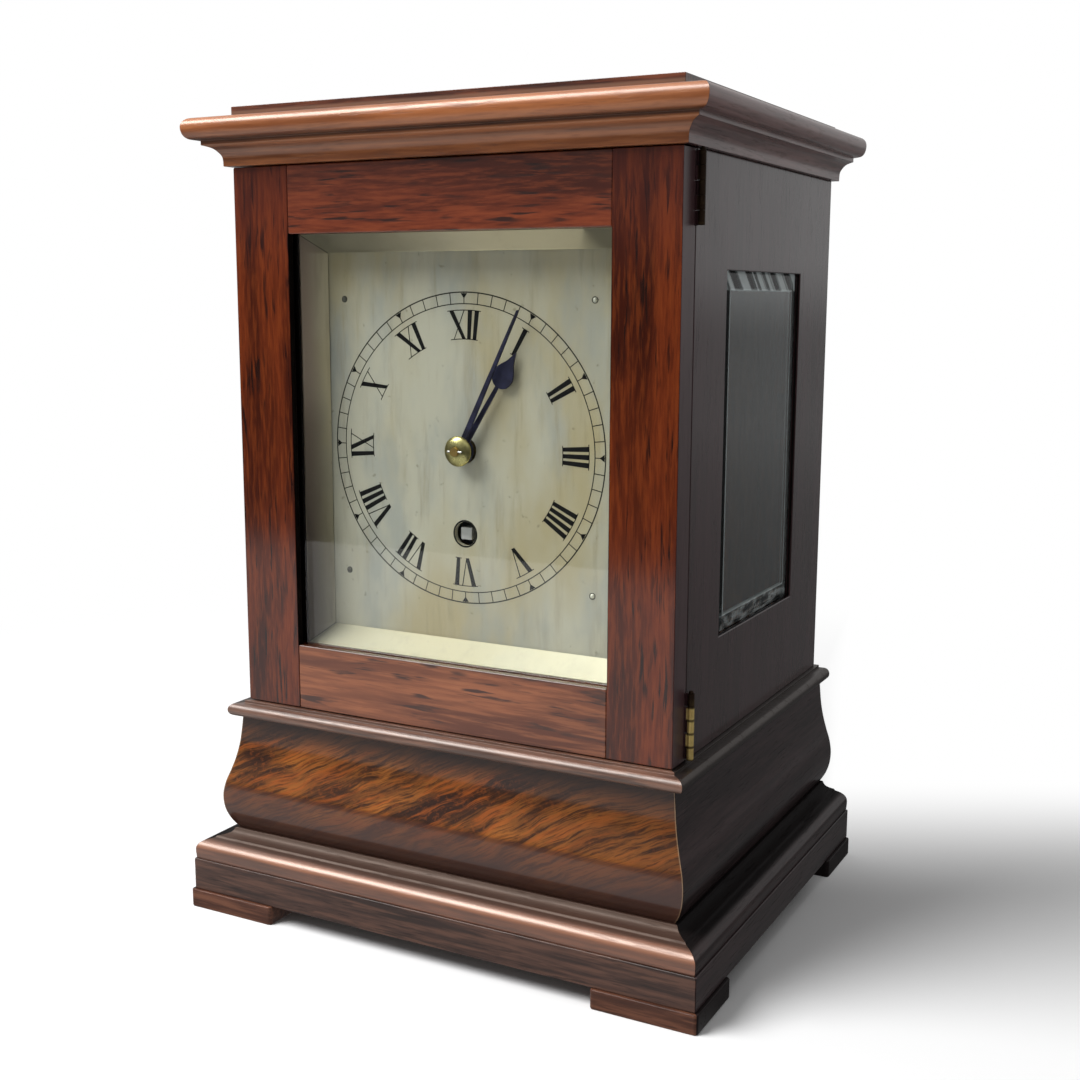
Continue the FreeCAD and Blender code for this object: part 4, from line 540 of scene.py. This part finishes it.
def thick_pane(name, seed, low, high):
    """Bevelled plate glass with real refraction, a grey-green body, and painted glints and painted shade
    along the bevels.

    The bevels' broken bands are softer in the pane at the left, which is lit from in front.
    """
    finish = Finish(name)
    sides = [abs(finish.along(axis) - (near + far) / 2) * -1.0 + (far - near) / 2
             for axis, near, far in (("Y", low.y, high.y), ("Z", low.z, high.z))]
    edge = sides[0].worked("MINIMUM", sides[1])
    arris = abs(edge - PANE_BEVEL).ramp(0.5 * MM, 0.15 * MM)
    facet_reflections = finish.noise((0.001, 175.0, 0.001), seed + 1.0, 1.0, turn=(math.radians(35.0), 0.0, 0.0))
    mosaic_reflections = finish.noise((1.0, 260.0, 420.0), seed + 2.0, 2.0)
    half = 0.3 * MM
    top, foot, rear = high.z - PANE_BEVEL, low.z + PANE_BEVEL, high.y - PANE_BEVEL
    above = finish.along("Z").ramp(top - half, top + half)
    below = finish.along("Z").ramp(foot + half, foot - half)
    first = finish.along("Y").ramp(low.y + PANE_BEVEL, low.y + PANE_BEVEL - 0.4 * MM)
    last = finish.along("Y").ramp(rear - half, rear + half)
    # Painted glints and painted shade on the bevels' bands: softer in the pane at the left, which is lit.
    crisp = finish.along("X").ramp(-10.0 * MM, 10.0 * MM, 0.4, 1.0)
    glint = arris * 0.34 + above * facet_reflections.ramp(0.47, 0.53) * crisp * 0.6 + last * 0.1
    glint = glint + below * mosaic_reflections.ramp(0.52, 0.6) * crisp * 0.2
    shade = above * facet_reflections.ramp(0.53, 0.47) * 0.5
    shade = shade.worked("MAXIMUM", below * mosaic_reflections.ramp(0.52, 0.42) * 0.6)
    shade = (shade * crisp).worked("MAXIMUM", first * 0.8)
    glass = finish.coated(Base_Color=(0.86, 0.93, 0.92, 1.0), Roughness=0.03, IOR=1.5,
                          Transmission_Weight=1.0,
                          Normal=finish.bump(finish.noise(14.0, seed, 2.0), 0.0003, 0.2))
    black, pale = [finish.node("ShaderNodeBsdfDiffuse", {"Color": colour})
                   for colour in (PANE_PAINTED_SHADE, PANE_PAINTED_GLINT)]
    return finish.surface(finish.mixed(glint, finish.mixed(shade, glass, black), pale))


def ink(name, seed, colour):
    """Black wax filling: slightly uneven and dull."""
    finish = Finish(name)
    wear = finish.noise(800.0, seed)
    tone = finish.layered(colour, (wear.ramp(0.6, 0.8) * 0.25, (70, 70, 62)))
    return finish.painted(Base_Color=tone, Roughness=0.5 + (wear - 0.5) * 0.2,
                          Specular_IOR_Level=0.15)


def metal_finishes():
    return {
        "dial": silvered("dial_silvering", 101.0, (196, 193, 175), (182, 170, 134),
                         (162, 166, 162), 0.46),
        "surround": silvered("surround_silvering_painted_light", 108.0, (222, 216, 186), (204, 194, 152),
                             (182, 178, 152), 0.42, True),
        "old": hinge_brass("hinge_brass", 115.0, (240, 212, 136), (176, 142, 84), (44, 31, 22)),
        "rivet": dial_rivet("rivet_silvering", 117.0, (214, 214, 200), (42, 41, 36)),
        "bright": brass("collet_brass", 119.0, (176, 168, 114), (92, 82, 52), 0.26, 0.75),
        "plate": brass("movement_brass", 124.0, (204, 170, 104), (150, 118, 66), 0.3),
        "blued": steel("hand_blued_steel", 131.0, (48, 49, 78), (30, 29, 48), 0.42, 0.5),
        "steel": steel("movement_steel", 137.0, (188, 188, 186), (140, 138, 136)),
        "arbor": steel("arbor_steel", 138.0, (214, 214, 212), (160, 160, 158), 0.5, 0.5),
        "spring": steel("spring_steel", 139.0, (56, 58, 76), (40, 38, 46)),
        "door_glass": clear_pane("door_pane", 141.0),
        "side_glass": thick_pane("side_pane", 147.0, *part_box("side_glass_right")),
        "ink": ink("dial_black_wax", 151.0, (14, 14, 15)),
        "line": ink("dial_line_wax", 157.0, (44, 44, 38)),
    }


# Making and placing pieces

def linked(name, mesh):
    made = bpy.data.objects.new(name, mesh)
    bpy.context.scene.collection.objects.link(made)
    return made


def baked(made):
    """Turn an object's modifiers into its plain mesh."""
    bpy.context.view_layer.update()
    seen = made.evaluated_get(bpy.context.evaluated_depsgraph_get())
    mesh = bpy.data.meshes.new_from_object(seen)
    made.modifiers.clear()
    made.data = mesh
    return made


def true_flats(mesh):
    """Shade so that large faces stay flat and only their softened edges roll over."""
    work = bmesh.new()
    work.from_mesh(mesh)
    for face in work.faces:
        face.smooth = True
    weights = [face.calc_area() ** 2 for face in work.faces]
    normals = []
    for face in work.faces:
        for loop in face.loops:
            total = Vector()
            for near in loop.vert.link_faces:
                if near.normal.dot(face.normal) > 0.6:
                    total += near.normal * weights[near.index]
            normals.append(total.normalized() if total.length > 0.0 else face.normal.copy())
    work.to_mesh(mesh)
    work.free()
    mesh.normals_split_custom_set(normals)


def eased(made, width, sharp=32.0):
    """Soften the sharp edges of a finished mesh."""
    edges = made.modifiers.new("edges", "BEVEL")
    edges.width = width
    edges.segments = 2
    edges.limit_method = "ANGLE"
    edges.angle_limit = math.radians(sharp)
    baked(made)
    true_flats(made.data)
    return made


def fitted(made, finish, *nodes, body=None, slot=None):
    """Give a piece its finish and let it stand for its CAD nodes, or ride beside them."""
    made.data.materials.clear()
    made.data.materials.append(finish)
    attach(made, body or BODY_OF[nodes[0]])
    if nodes:
        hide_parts(*nodes)
    return made


def clean_copy(node):
    """A CAD node's mesh with its triangles joined into flat faces."""
    mesh = NODES[node].data.copy()
    work = bmesh.new()
    work.from_mesh(mesh)
    bmesh.ops.remove_doubles(work, verts=work.verts[:], dist=0.002 * MM)
    bmesh.ops.dissolve_limit(work, angle_limit=math.radians(0.6), verts=work.verts[:],
                             edges=work.edges[:])
    work.to_mesh(mesh)
    work.free()
    return linked(f"{node}_dressed", mesh)


def dressed(node, finish, edge):
    """A CAD node's copy with softened edges, in its finish."""
    return fitted(eased(clean_copy(node), edge), finish, node)


def second_finish(made, finish, beyond):
    """Give another finish to the faces that lie beyond a distance from the middle plane."""
    made.data.materials.append(finish)
    for face in made.data.polygons:
        face.material_index = int(abs(face.center.x) > beyond)


def shown(finish, *nodes):
    """Keep a CAD node and give it a finish."""
    for node in nodes:
        mesh = NODES[node].data
        mesh.materials.clear()
        mesh.materials.append(finish)


def settled(name, work):
    """A piece from a work mesh, with its faces turned outward."""
    bmesh.ops.recalc_face_normals(work, faces=work.faces[:])
    mesh = bpy.data.meshes.new(name)
    work.to_mesh(mesh)
    work.free()
    return linked(name, mesh)


def solid_from(name, rings, weld=None, looped=False):
    """A closed skin over rings of equally many points, capped or looped back to the first ring."""
    if looped:
        rings = rings + rings[:1]
    work = bmesh.new()
    rows = [[work.verts.new(point) for point in ring] for ring in rings]
    count = len(rings[0])
    for first, second in zip(rows, rows[1:]):
        for index in range(count):
            after = (index + 1) % count
            work.faces.new((first[index], first[after], second[after], second[index]))
    if not looped:
        work.faces.new(rows[0][::-1])
        work.faces.new(rows[-1])
    if weld is not None:
        bmesh.ops.remove_doubles(work, verts=work.verts[:], dist=weld)
    return settled(name, work)


def turned(name, section, centre, count):
    """A ring on an axis along Y through a centre (x, z), from a section's points (reach, y)."""
    rings = []
    for index in range(count):
        angle = 2 * math.pi * index / count
        rings.append([(centre[0] + reach * math.sin(angle), y, centre[1] + reach * math.cos(angle))
                      for reach, y in section])
    return solid_from(name, rings, 0.001 * MM, True)


# Mouldings

# Sections as shares of overhang and height; 1 marks a crisp arris.
CORNICE_ROWS = (
    (0.182, 0.0, 1), (0.2, 0.191, 0), (0.282, 0.298, 0), (0.391, 0.376, 0),
    (0.532, 0.418, 0), (0.609, 0.433, 1), (0.609, 0.525, 1), (0.845, 0.553, 0),
    (0.955, 0.638, 0), (1.0, 0.78, 0), (0.973, 0.894, 0), (0.882, 0.972, 0),
    (0.782, 1.0, 1))
OGEE_ROWS = (
    (0.478, 0.0, 1), (0.754, 0.083, 0), (0.942, 0.182, 0), (1.0, 0.299, 0),
    (0.899, 0.417, 0), (0.71, 0.521, 0), (0.522, 0.638, 0), (0.391, 0.755, 0),
    (0.319, 0.859, 0), (0.246, 1.0, 1))
OVOLO_ROWS = (
    (0.985, 0.0, 1), (1.0, 0.344, 0), (0.949, 0.527, 0), (0.824, 0.645, 0),
    (0.662, 0.699, 1), (0.632, 0.753, 1), (0.485, 0.785, 0), (0.375, 0.86, 0),
    (0.316, 1.0, 1))
RAIL_ROWS = ((1.0, 0.0, 1), (1.0, 1.0, 1))


def rounded(rows, steps=6):
    """Pass a smooth line through a section's points, breaking it at each arris."""
    most = max(row[0] for row in rows)
    points = []
    last = len(rows) - 1
    for index in range(last):
        here, after = rows[index], rows[index + 1]
        before = here if here[2] else rows[max(index - 1, 0)]
        beyond = after if after[2] else rows[min(index + 2, last)]
        count = 1 if here[2] and after[2] else steps
        for step in range(count):
            t = step / count
            spot = []
            for axis in (0, 1):
                a, b, c, d = before[axis], here[axis], after[axis], beyond[axis]
                spot.append(0.5 * (2 * b + (c - a) * t + (2 * a - 5 * b + 4 * c - d) * t * t
                                   + (3 * b - a - 3 * c + d) * t ** 3))
            points.append((min(spot[0], most), spot[1]))
    points.append(rows[last][:2])
    return points


def moulding(name, rows, along, end, edge=0.18 * MM):
    """Front, left and right lengths of one moulding, mitred at the front corners."""
    low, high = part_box(f"{name}_front")
    over = FRONT - low.y
    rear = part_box(f"{name}_right")[1].y
    section = [(-STRIP_IN, low.z)]
    section += [(over * out, low.z + (high.z - low.z) * rise) for out, rise in rounded(rows)]
    section += [(-STRIP_IN, high.z)]

    def corner(side):
        return [(side * (CASE_HALF + out), FRONT - out, height) for out, height in section]

    def rear_end(side):
        return [(side * (CASE_HALF + out), rear, height) for out, height in section]

    for side, finish, rings in (("front", along, [corner(-1), corner(1)]),
                                ("right", end, [corner(1), rear_end(1)]),
                                ("left", end, [rear_end(-1), corner(-1)])):
        made = solid_from(f"{name}_{side}_shaped", rings)
        fitted(eased(made, edge, 25.0), finish, f"{name}_{side}")


def make_mouldings(woods):
    moulding("cornice", CORNICE_ROWS, woods["cornice"], woods["cornice_end"])
    moulding("ogee", OGEE_ROWS, woods["ogee"], woods["end"])
    moulding("plinth_moulding", OVOLO_ROWS, woods["ovolo"], woods["ovolo_end"])
    moulding("plinth", RAIL_ROWS, woods["plinth"], woods["end"], 0.35 * MM)


# Case and doors

REAR_TONGUE = 2.4 * MM


def make_hinge(node, finish):
    """Hinge leaves or pins, drawn slimmer than their CAD shape about the same axis."""
    made = clean_copy(node)
    for vertex in made.data.vertices:
        if vertex.co.x > CASE_HALF + 0.3 * MM:
            vertex.co.xy = HINGE_AXIS + (vertex.co.xy - HINGE_AXIS) * HINGE_SLIM
    fitted(eased(made, 0.08 * MM), finish, node)


def make_case(woods, metals):
    pieces = {}
    for node, finish, edge in (
            ("feet", "foot", 0.4), ("base_back", "inner", 0.3), ("waist_board", "waist", 0.2),
            ("left_side", "side", 0.35), ("right_side", "side", 0.35), ("top_panel", "top", 0.4),
            ("seat_board", "inner", 0.4), ("door_stile_left", "stile", 0.4),
            ("door_stile_right", "stile", 0.4), ("door_rail_top", "rail", 0.4),
            ("door_rail_bottom", "low_rail", 0.4), ("rear_door_panel", "inner", 0.3)):
        pieces[node] = dressed(node, woods[finish], edge * MM)
    for node in ("door_stile_left", "door_stile_right"):
        second_finish(pieces[node], woods["stile_side"], CASE_HALF - 0.15 * MM)
    rear = dressed("rear_door_frame", woods["top"], 0.4 * MM)
    second_finish(rear, woods["rear_stile"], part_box("rear_door_panel")[1].x - REAR_TONGUE)
    dressed("dial_surround", metals["surround"], 0.15 * MM)
    dressed("rear_door_turn", metals["old"], 0.1 * MM)
    for node in ("hinge_case_leaves", "hinge_door_leaves", "hinge_pins"):
        make_hinge(node, metals["old"])
    shown(metals["old"], "rear_door_pivots")
    shown(metals["door_glass"], "door_glass")
    shown(metals["side_glass"], "side_glass_left", "side_glass_right")


# Dial

DIAL_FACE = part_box("dial_plate")[0].y
DIAL_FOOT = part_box("dial_plate")[0].z
RIVET_IN, RIVET_DROP, RIVET_RISE = 9.7 * MM, 17.05 * MM, 21.25 * MM
WINDING_HOLE = (0.0, 128.5 * MM)
WAX_PROUD = 0.03 * MM
NUMERAL_FOOT = 33.2 * MM
NUMERAL_HIGH = 8.8 * MM
STEM_WIDE = 1.36 * MM
HAIR_WIDE = 0.3 * MM
SERIF_HIGH = 0.26 * MM
SERIF_OUT = 0.55 * MM
STEM_PITCH = 2.15 * MM
V_WIDE = 3.7 * MM
X_WIDE = 4.1 * MM
LETTER_GAP = 1.1 * MM
NUMERALS = ("XII", "I", "II", "III", "IIII", "V", "VI", "VII", "VIII", "IX", "X", "XI")


def letter_strokes(letter, start):
    """Strokes as (foot place, head place, width), and where the letter ends."""
    if letter == "I":
        return [(start, start, STEM_WIDE)], start
    wide = V_WIDE if letter == "V" else X_WIDE
    end = start + wide
    if letter == "V":
        middle = start + wide * 0.52
        return [(middle, start, STEM_WIDE), (middle + HAIR_WIDE, end, HAIR_WIDE)], end
    return [(end, start, STEM_WIDE), (start, end, HAIR_WIDE)], end


def numeral_strokes(text):
    strokes, serifs = [], []
    place = 0.0
    for index, letter in enumerate(text):
        if index:
            paired = letter == "I" and text[index - 1] == "I"
            place += STEM_PITCH if paired else LETTER_GAP + STEM_WIDE / 2
        made, end = letter_strokes(letter, place)
        strokes += made
        reach = STEM_WIDE / 2 + SERIF_OUT
        serifs.append((place - reach, end + reach, 1.0))
        if letter != "V":
            serifs.append((place - reach, end + reach, 0.0))
        place = end
    middle = place / 2
    return ([(foot - middle, head - middle, wide) for foot, head, wide in strokes],
            [(left - middle, right - middle, level) for left, right, level in serifs])


def on_dial(along, up, degrees):
    """A point of an upright numeral laid out around the dial."""
    radius = NUMERAL_FOOT + up
    turn = math.radians(degrees) + along / (NUMERAL_FOOT + NUMERAL_HIGH / 2)
    return radius * math.sin(turn), radius * math.cos(turn)


def wax(name, outlines, finish):
    """Shallow fillings that stand a hair proud of the dial."""
    work = bmesh.new()
    for outline in outlines:
        front, back = [[work.verts.new((DIAL_CENTRE[0] + x, DIAL_FACE + proud, DIAL_CENTRE[1] + z))
                        for x, z in outline] for proud in (-WAX_PROUD, WAX_PROUD)]
        work.faces.new(front)
        work.faces.new(back[::-1])
        for index in range(len(outline)):
            after = (index + 1) % len(outline)
            work.faces.new((front[index], back[index], back[after], front[after]))
    fitted(settled(name, work), finish, body="case", slot="silvered_brass")


def make_numerals(metals):
    outlines = []
    for index, text in enumerate(NUMERALS):
        degrees = 30.0 * index
        strokes, serifs = numeral_strokes(text)
        for foot, head, wide in strokes:
            corners = ((foot - wide / 2, 0.0), (foot + wide / 2, 0.0), (head + wide / 2, NUMERAL_HIGH),
                       (head - wide / 2, NUMERAL_HIGH))
            outlines.append([on_dial(along, up, degrees) for along, up in corners])
        for left, right, level in serifs:
            up = level * (NUMERAL_HIGH - SERIF_HIGH)
            places = [left + (right - left) * share / 4 for share in range(5)]
            low = [on_dial(along, up, degrees) for along in places]
            high = [on_dial(along, up + SERIF_HIGH, degrees) for along in reversed(places)]
            outlines.append(low + high)
    wax("dial_numerals", outlines, metals["ink"])


def ring_mesh(name, radius, wide, finish, centre=DIAL_CENTRE, count=180):
    """One engraved circle: a closed ring of square section."""
    front, back = DIAL_FACE - WAX_PROUD, DIAL_FACE + WAX_PROUD
    section = ((radius, front), (radius + wide, front), (radius + wide, back), (radius, back))
    fitted(turned(name, section, centre, count), finish, body="case", slot="silvered_brass")


class Tree:
    """A geometry tree with named size inputs."""

    def __init__(self, name, inputs):
        self.group = bpy.data.node_groups.new(name, "GeometryNodeTree")
        self.group.interface.new_socket("Geometry", in_out="OUTPUT", socket_type="NodeSocketGeometry")
        self.values = inputs
        for label, value in inputs.items():
            kind = "NodeSocketInt" if isinstance(value, int) else "NodeSocketFloat"
            self.group.interface.new_socket(label, in_out="INPUT", socket_type=kind)
        self.source = self.group.nodes.new("NodeGroupInput")
        self.sink = self.group.nodes.new("NodeGroupOutput")

    def size(self, label):
        return self.source.outputs[label]

    def node(self, kind, inputs=None, **settings):
        return new_node(self.group, kind, inputs or {}, settings).outputs[0]

    def grown(self, name, geometry, finish):
        """Realize, paint, and turn the result into a plain mesh."""
        solid = self.node("GeometryNodeRealizeInstances", {0: geometry})
        painted = self.node("GeometryNodeSetMaterial", {0: solid, "Material": finish})
        self.group.links.new(painted, self.sink.inputs[0])
        made = linked(name, bpy.data.meshes.new(name))
        maker = made.modifiers.new("maker", "NODES")
        maker.node_group = self.group
        for item in self.group.interface.items_tree:
            if item.in_out == "INPUT":
                maker[item.identifier] = self.values[item.name]
        return baked(made)


def dial_marks(name, finish, count, radius, wide, long, corners):
    """Marks spread evenly round the dial's chapter circle: bars, or prisms with three corners."""
    tree = Tree(f"{name}_tree", {"Count": count, "Radius": radius, "Wide": wide, "Long": long,
                                 "Proud": WAX_PROUD * 2})
    circle = tree.node("GeometryNodeMeshCircle",
                       {"Vertices": tree.size("Count"), "Radius": tree.size("Radius")})
    thick = tree.size("Proud") if corners == 4 else 1.0
    size = tree.node("ShaderNodeCombineXYZ",
                     {0: tree.size("Wide"), 1: tree.size("Long"), 2: thick})
    if corners == 4:
        mark = tree.node("GeometryNodeMeshCube", {"Size": size})
    else:
        mark = tree.node("GeometryNodeMeshCylinder",
                         {"Vertices": corners, "Radius": 1.0, "Depth": tree.size("Proud")})
        mark = tree.node("GeometryNodeTransform",
                         {0: mark, "Rotation": (0.0, 0.0, math.radians(-90.0)), "Scale": size})
    outward = tree.node("FunctionNodeAlignRotationToVector",
                        {"Vector": tree.node("GeometryNodeInputPosition")}, axis="Y", pivot_axis="Z")
    spread = tree.node("GeometryNodeInstanceOnPoints",
                       {"Points": circle, "Instance": mark, "Rotation": outward})
    stood = tree.node("GeometryNodeTransform",
                      {0: spread, "Translation": (DIAL_CENTRE[0], DIAL_FACE, DIAL_CENTRE[1]),
                       "Rotation": (math.radians(90.0), 0.0, 0.0)})
    fitted(tree.grown(name, stood, finish), finish, body="case", slot="silvered_brass")


def make_dial(metals):
    shown(metals["dial"], "dial_plate")
    dressed("dial_feet", metals["rivet"], 0.12 * MM)
    make_numerals(metals)
    ring_mesh("dial_inner_circle", 43.6 * MM, 0.3 * MM, metals["line"])
    ring_mesh("dial_outer_circle", 46.95 * MM, 0.38 * MM, metals["line"])
    # A black ring round the winding hole: its black-filled chamfer, and painted shade of the hole's wall.
    ring_mesh("winding_ring", 3.75 * MM, 0.5 * MM, metals["ink"], WINDING_HOLE, 64)
    for side, label in ((-1, "left"), (1, "right")):
        for name, height in (("top", DIAL_CORNER.z - RIVET_DROP), ("low", DIAL_FOOT + RIVET_RISE)):
            ring_mesh(f"rivet_ring_{name}_{label}", 0.8 * MM, 0.22 * MM, metals["line"],
                      (side * (DIAL_CORNER.x - RIVET_IN), height), 32)
    dial_marks("dial_minutes", metals["line"], 60, 45.4 * MM, 0.28 * MM, 3.2 * MM, 4)
    dial_marks("dial_five_minutes", metals["ink"], 12, 46.3 * MM, 1.05 * MM, 1.3 * MM, 3)


# Hands

HOUR_TURN = 32.2
MINUTE_TURN = 25.8
BOSS_STEPS = 14
SPADE_ROWS = ((0.45, 0.97), (0.82, 0.88), (1.0, 0.72), (0.97, 0.6), (0.72, 0.45), (0.4, 0.3),
              (0.2, 0.15))

# The collet's section as radius and height from its seat, in millimetres.
COLLET_ROWS = ((1.3, 0.0), (4.6, 0.0), (4.6, 0.3), (4.3, 0.75), (3.7, 1.15), (2.8, 1.48), (1.93, 1.7),
               (1.3, 1.7))


def hand(node, half_outline, boss, degrees, finish):
    """A flat hand: round boss and blade, mirrored about its own line, laid over the dial."""
    low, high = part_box(node)
    start = math.asin(half_outline[0][0] / boss)
    sweep = [math.pi - (math.pi - start) * step / BOSS_STEPS for step in range(BOSS_STEPS + 1)]
    half = [(boss * math.sin(angle), boss * math.cos(angle)) for angle in sweep] + half_outline[1:]
    outline = half + [(-x, z) for x, z in reversed(half) if abs(x) > 0.001 * MM]
    turn = math.radians(degrees)
    rings = [[(DIAL_CENTRE[0] + x * math.cos(turn) + z * math.sin(turn), y,
               DIAL_CENTRE[1] - x * math.sin(turn) + z * math.cos(turn)) for x, z in outline]
             for y in (low.y, high.y)]
    made = solid_from(f"{node}_shaped", rings, 0.01 * MM)
    fitted(eased(made, 0.14 * MM, 50.0), finish, node)


def make_hands(metals):
    reach, head, half = 35.0 * MM, 12.0 * MM, 3.5 * MM
    rows = [(half * wide, reach - head * along, 0) for wide, along in SPADE_ROWS]
    rows = [(0.6 * MM, reach - head, 1)] + rows + [(0.12 * MM, reach, 1)]
    blade = [(0.9 * MM, 0.0)] + rounded(rows, 4)
    hand("hour_hand", blade, 4.0 * MM, HOUR_TURN, metals["blued"])
    needle = [(0.95 * MM, 0.0), (0.9 * MM, 8.0 * MM), (0.42 * MM, 46.3 * MM), (0.2 * MM, 46.6 * MM)]
    hand("minute_hand", needle, 3.0 * MM, MINUTE_TURN, metals["blued"])
    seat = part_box("hand_collet")[1].y
    section = [(radius * MM, seat - rise * MM) for radius, rise in COLLET_ROWS]
    collet = turned("hand_collet_turned", section, DIAL_CENTRE, 64)
    fitted(eased(collet, 0.08 * MM, 60.0), metals["bright"], "hand_collet")


# Movement

def make_movement(metals):
    shown(metals["plate"], "front_plate", "back_plate", "plate_pillars", "barrel", "intermediate_wheel",
          "centre_wheel", "third_wheel", "escape_wheel", "minute_wheel", "hour_wheel", "back_cock",
          "pendulum_bob")
    shown(metals["arbor"], "barrel_arbor")
    shown(metals["steel"], "hand_pin", "ratchet_wheel", "click", "pallets", "cannon_pinion",
          "suspension_spring", "pendulum_rod")
    shown(metals["spring"], "mainspring")


# Studio

PHOTO_LENS = 47.163
CAMERA_SPOT = (0.22034, -0.41237, 0.19913)
CAMERA_TURN = (27.98, 9.64, 0.18)
WORLD_LIGHT = 0.27
FLOOR_HALF = 3.0
FLOOR_FRONT = 0.64


def make_camera():
    around, down, roll = (math.radians(angle) for angle in CAMERA_TURN)
    forward = Vector((-math.sin(around) * math.cos(down), math.cos(around) * math.cos(down),
                      -math.sin(down)))
    level = forward.cross(Vector((0.0, 0.0, 1.0))).normalized()
    upright = level.cross(forward)
    right = math.cos(roll) * level + math.sin(roll) * upright
    up = math.cos(roll) * upright - math.sin(roll) * level
    lens = bpy.data.cameras.new("photo_camera")
    lens.lens = PHOTO_LENS
    lens.sensor_width = 36.0
    lens.sensor_fit = "HORIZONTAL"
    lens.clip_start = 0.01
    made = linked("photo_camera", lens)
    turn = Matrix((right, up, -forward)).transposed().to_4x4()
    made.matrix_world = Matrix.Translation(CAMERA_SPOT) @ turn
    bpy.context.scene.camera = made


def soft_lamp(name, spot, aim, wide, watts):
    data = bpy.data.lights.new(name, "AREA")
    data.shape = "DISK"
    data.size = wide
    data.energy = watts
    made = linked(name, data)
    turn = (Vector(aim) - Vector(spot)).to_track_quat("-Z", "Y").to_matrix().to_4x4()
    made.matrix_world = Matrix.Translation(spot) @ turn
    made.visible_camera = False


def ray_kinds(finish):
    """Camera rays, and the glossy and transmission rays together."""
    camera, glossy, passed = [finish.node("ShaderNodeLightPath", output=f"Is {kind} Ray")
                              for kind in ("Camera", "Glossy", "Transmission")]
    return camera, glossy.worked("MAXIMUM", passed)


def make_world():
    """Even white light; polish and glass see a dim room low in front and a pale wall behind."""
    world = bpy.data.worlds.new("studio")
    bpy.context.scene.world = world
    room = Finish("studio", world)
    camera, mirrored = ray_kinds(room)
    toward = room.node("ShaderNodeTexCoord", output="Generated")
    depth, rise = [room.node("ShaderNodeSeparateXYZ", {0: toward}, axis) for axis in (1, 2)]
    front = rise.ramp(0.0, 0.12, 0.04, 0.32) + rise.ramp(0.25, 0.6, 0.0, 0.6)
    behind = rise.ramp(-0.03, 0.03, 0.24, 0.52)
    wall = depth.ramp(-0.35, 0.45, front, behind)
    strength = WORLD_LIGHT + mirrored * (wall - WORLD_LIGHT)
    strength = strength + camera * (1.0 - strength)
    light = room.node("ShaderNodeBackground", {"Color": WHITE, "Strength": strength})
    new_node(room.tree, "ShaderNodeOutputWorld", {"Surface": light}, {})


def floor_finish():
    """White to the camera and fading out behind, painted white over the clock's shadow behind and to the
    right; polish and glass see a painted shadow behind and to the right of the clock.
    """
    finish = Finish("pale_floor")
    camera, mirrored = ray_kinds(finish)
    across, deep = finish.along("X"), finish.along("Y")
    far = finish.vector("LENGTH", finish.place(), output="Value")
    colour = finish.blend(camera, (0.55, 0.55, 0.55, 1.0), (0.95, 0.95, 0.95, 1.0))
    plain = finish.node("ShaderNodeBsdfDiffuse", {"Color": colour})
    # The camera sees painted white over the clock's own shadow past these lines, behind and to the right.
    behind_right = (deep * 0.883 - across * 0.469).ramp(-20.0 * MM, 105.0 * MM)
    beside = (across + deep * 0.26).ramp(80.0 * MM, 102.0 * MM)
    shadow_painted_white = far.ramp(0.22, 0.5).worked("MAXIMUM", behind_right * beside)
    # Polish and glass see a painted shadow on the floor behind and to the right of the clock, and a
    # bright floor in front.
    side = deep.ramp(-0.11, -0.04).worked("MAXIMUM", across.ramp(0.08, 0.1))
    level = side.ramp(0.0, 1.0, 0.9, far.ramp(0.2, 2.0, 0.12, 0.24))
    white, mirror = [finish.node("ShaderNodeEmission", {"Color": WHITE, "Strength": strength})
                     for strength in (1.0, level)]
    seen = finish.mixed(shadow_painted_white * camera, plain, white)
    return finish.surface(finish.mixed(mirrored, seen, mirror))


def make_floor():
    """A pale table that ends in front of the clock."""
    mesh = bpy.data.meshes.new("floor")
    corners = [(-FLOOR_HALF, -FLOOR_FRONT, 0), (FLOOR_HALF, -FLOOR_FRONT, 0),
               (FLOOR_HALF, FLOOR_HALF, 0), (-FLOOR_HALF, FLOOR_HALF, 0)]
    mesh.from_pydata(corners, [], [(0, 1, 2, 3)])
    made = linked("floor", mesh)
    mesh.materials.append(floor_finish())


def make_studio():
    bpy.context.scene.view_settings.view_transform = "Standard"
    make_camera()
    make_world()
    make_floor()
    soft_lamp("window_light", (-0.74, -0.72, 1.28), (0.0, -0.03, 0.14), 1.0, 30.0)
    soft_lamp("ceiling_light", (-0.2, -0.2, 1.6), (0.0, 0.0, 0.1), 1.2, 3.0)


woods = wood_finishes()
metals = metal_finishes()
make_mouldings(woods)
make_case(woods, metals)
make_dial(metals)
make_hands(metals)
make_movement(metals)
make_studio()
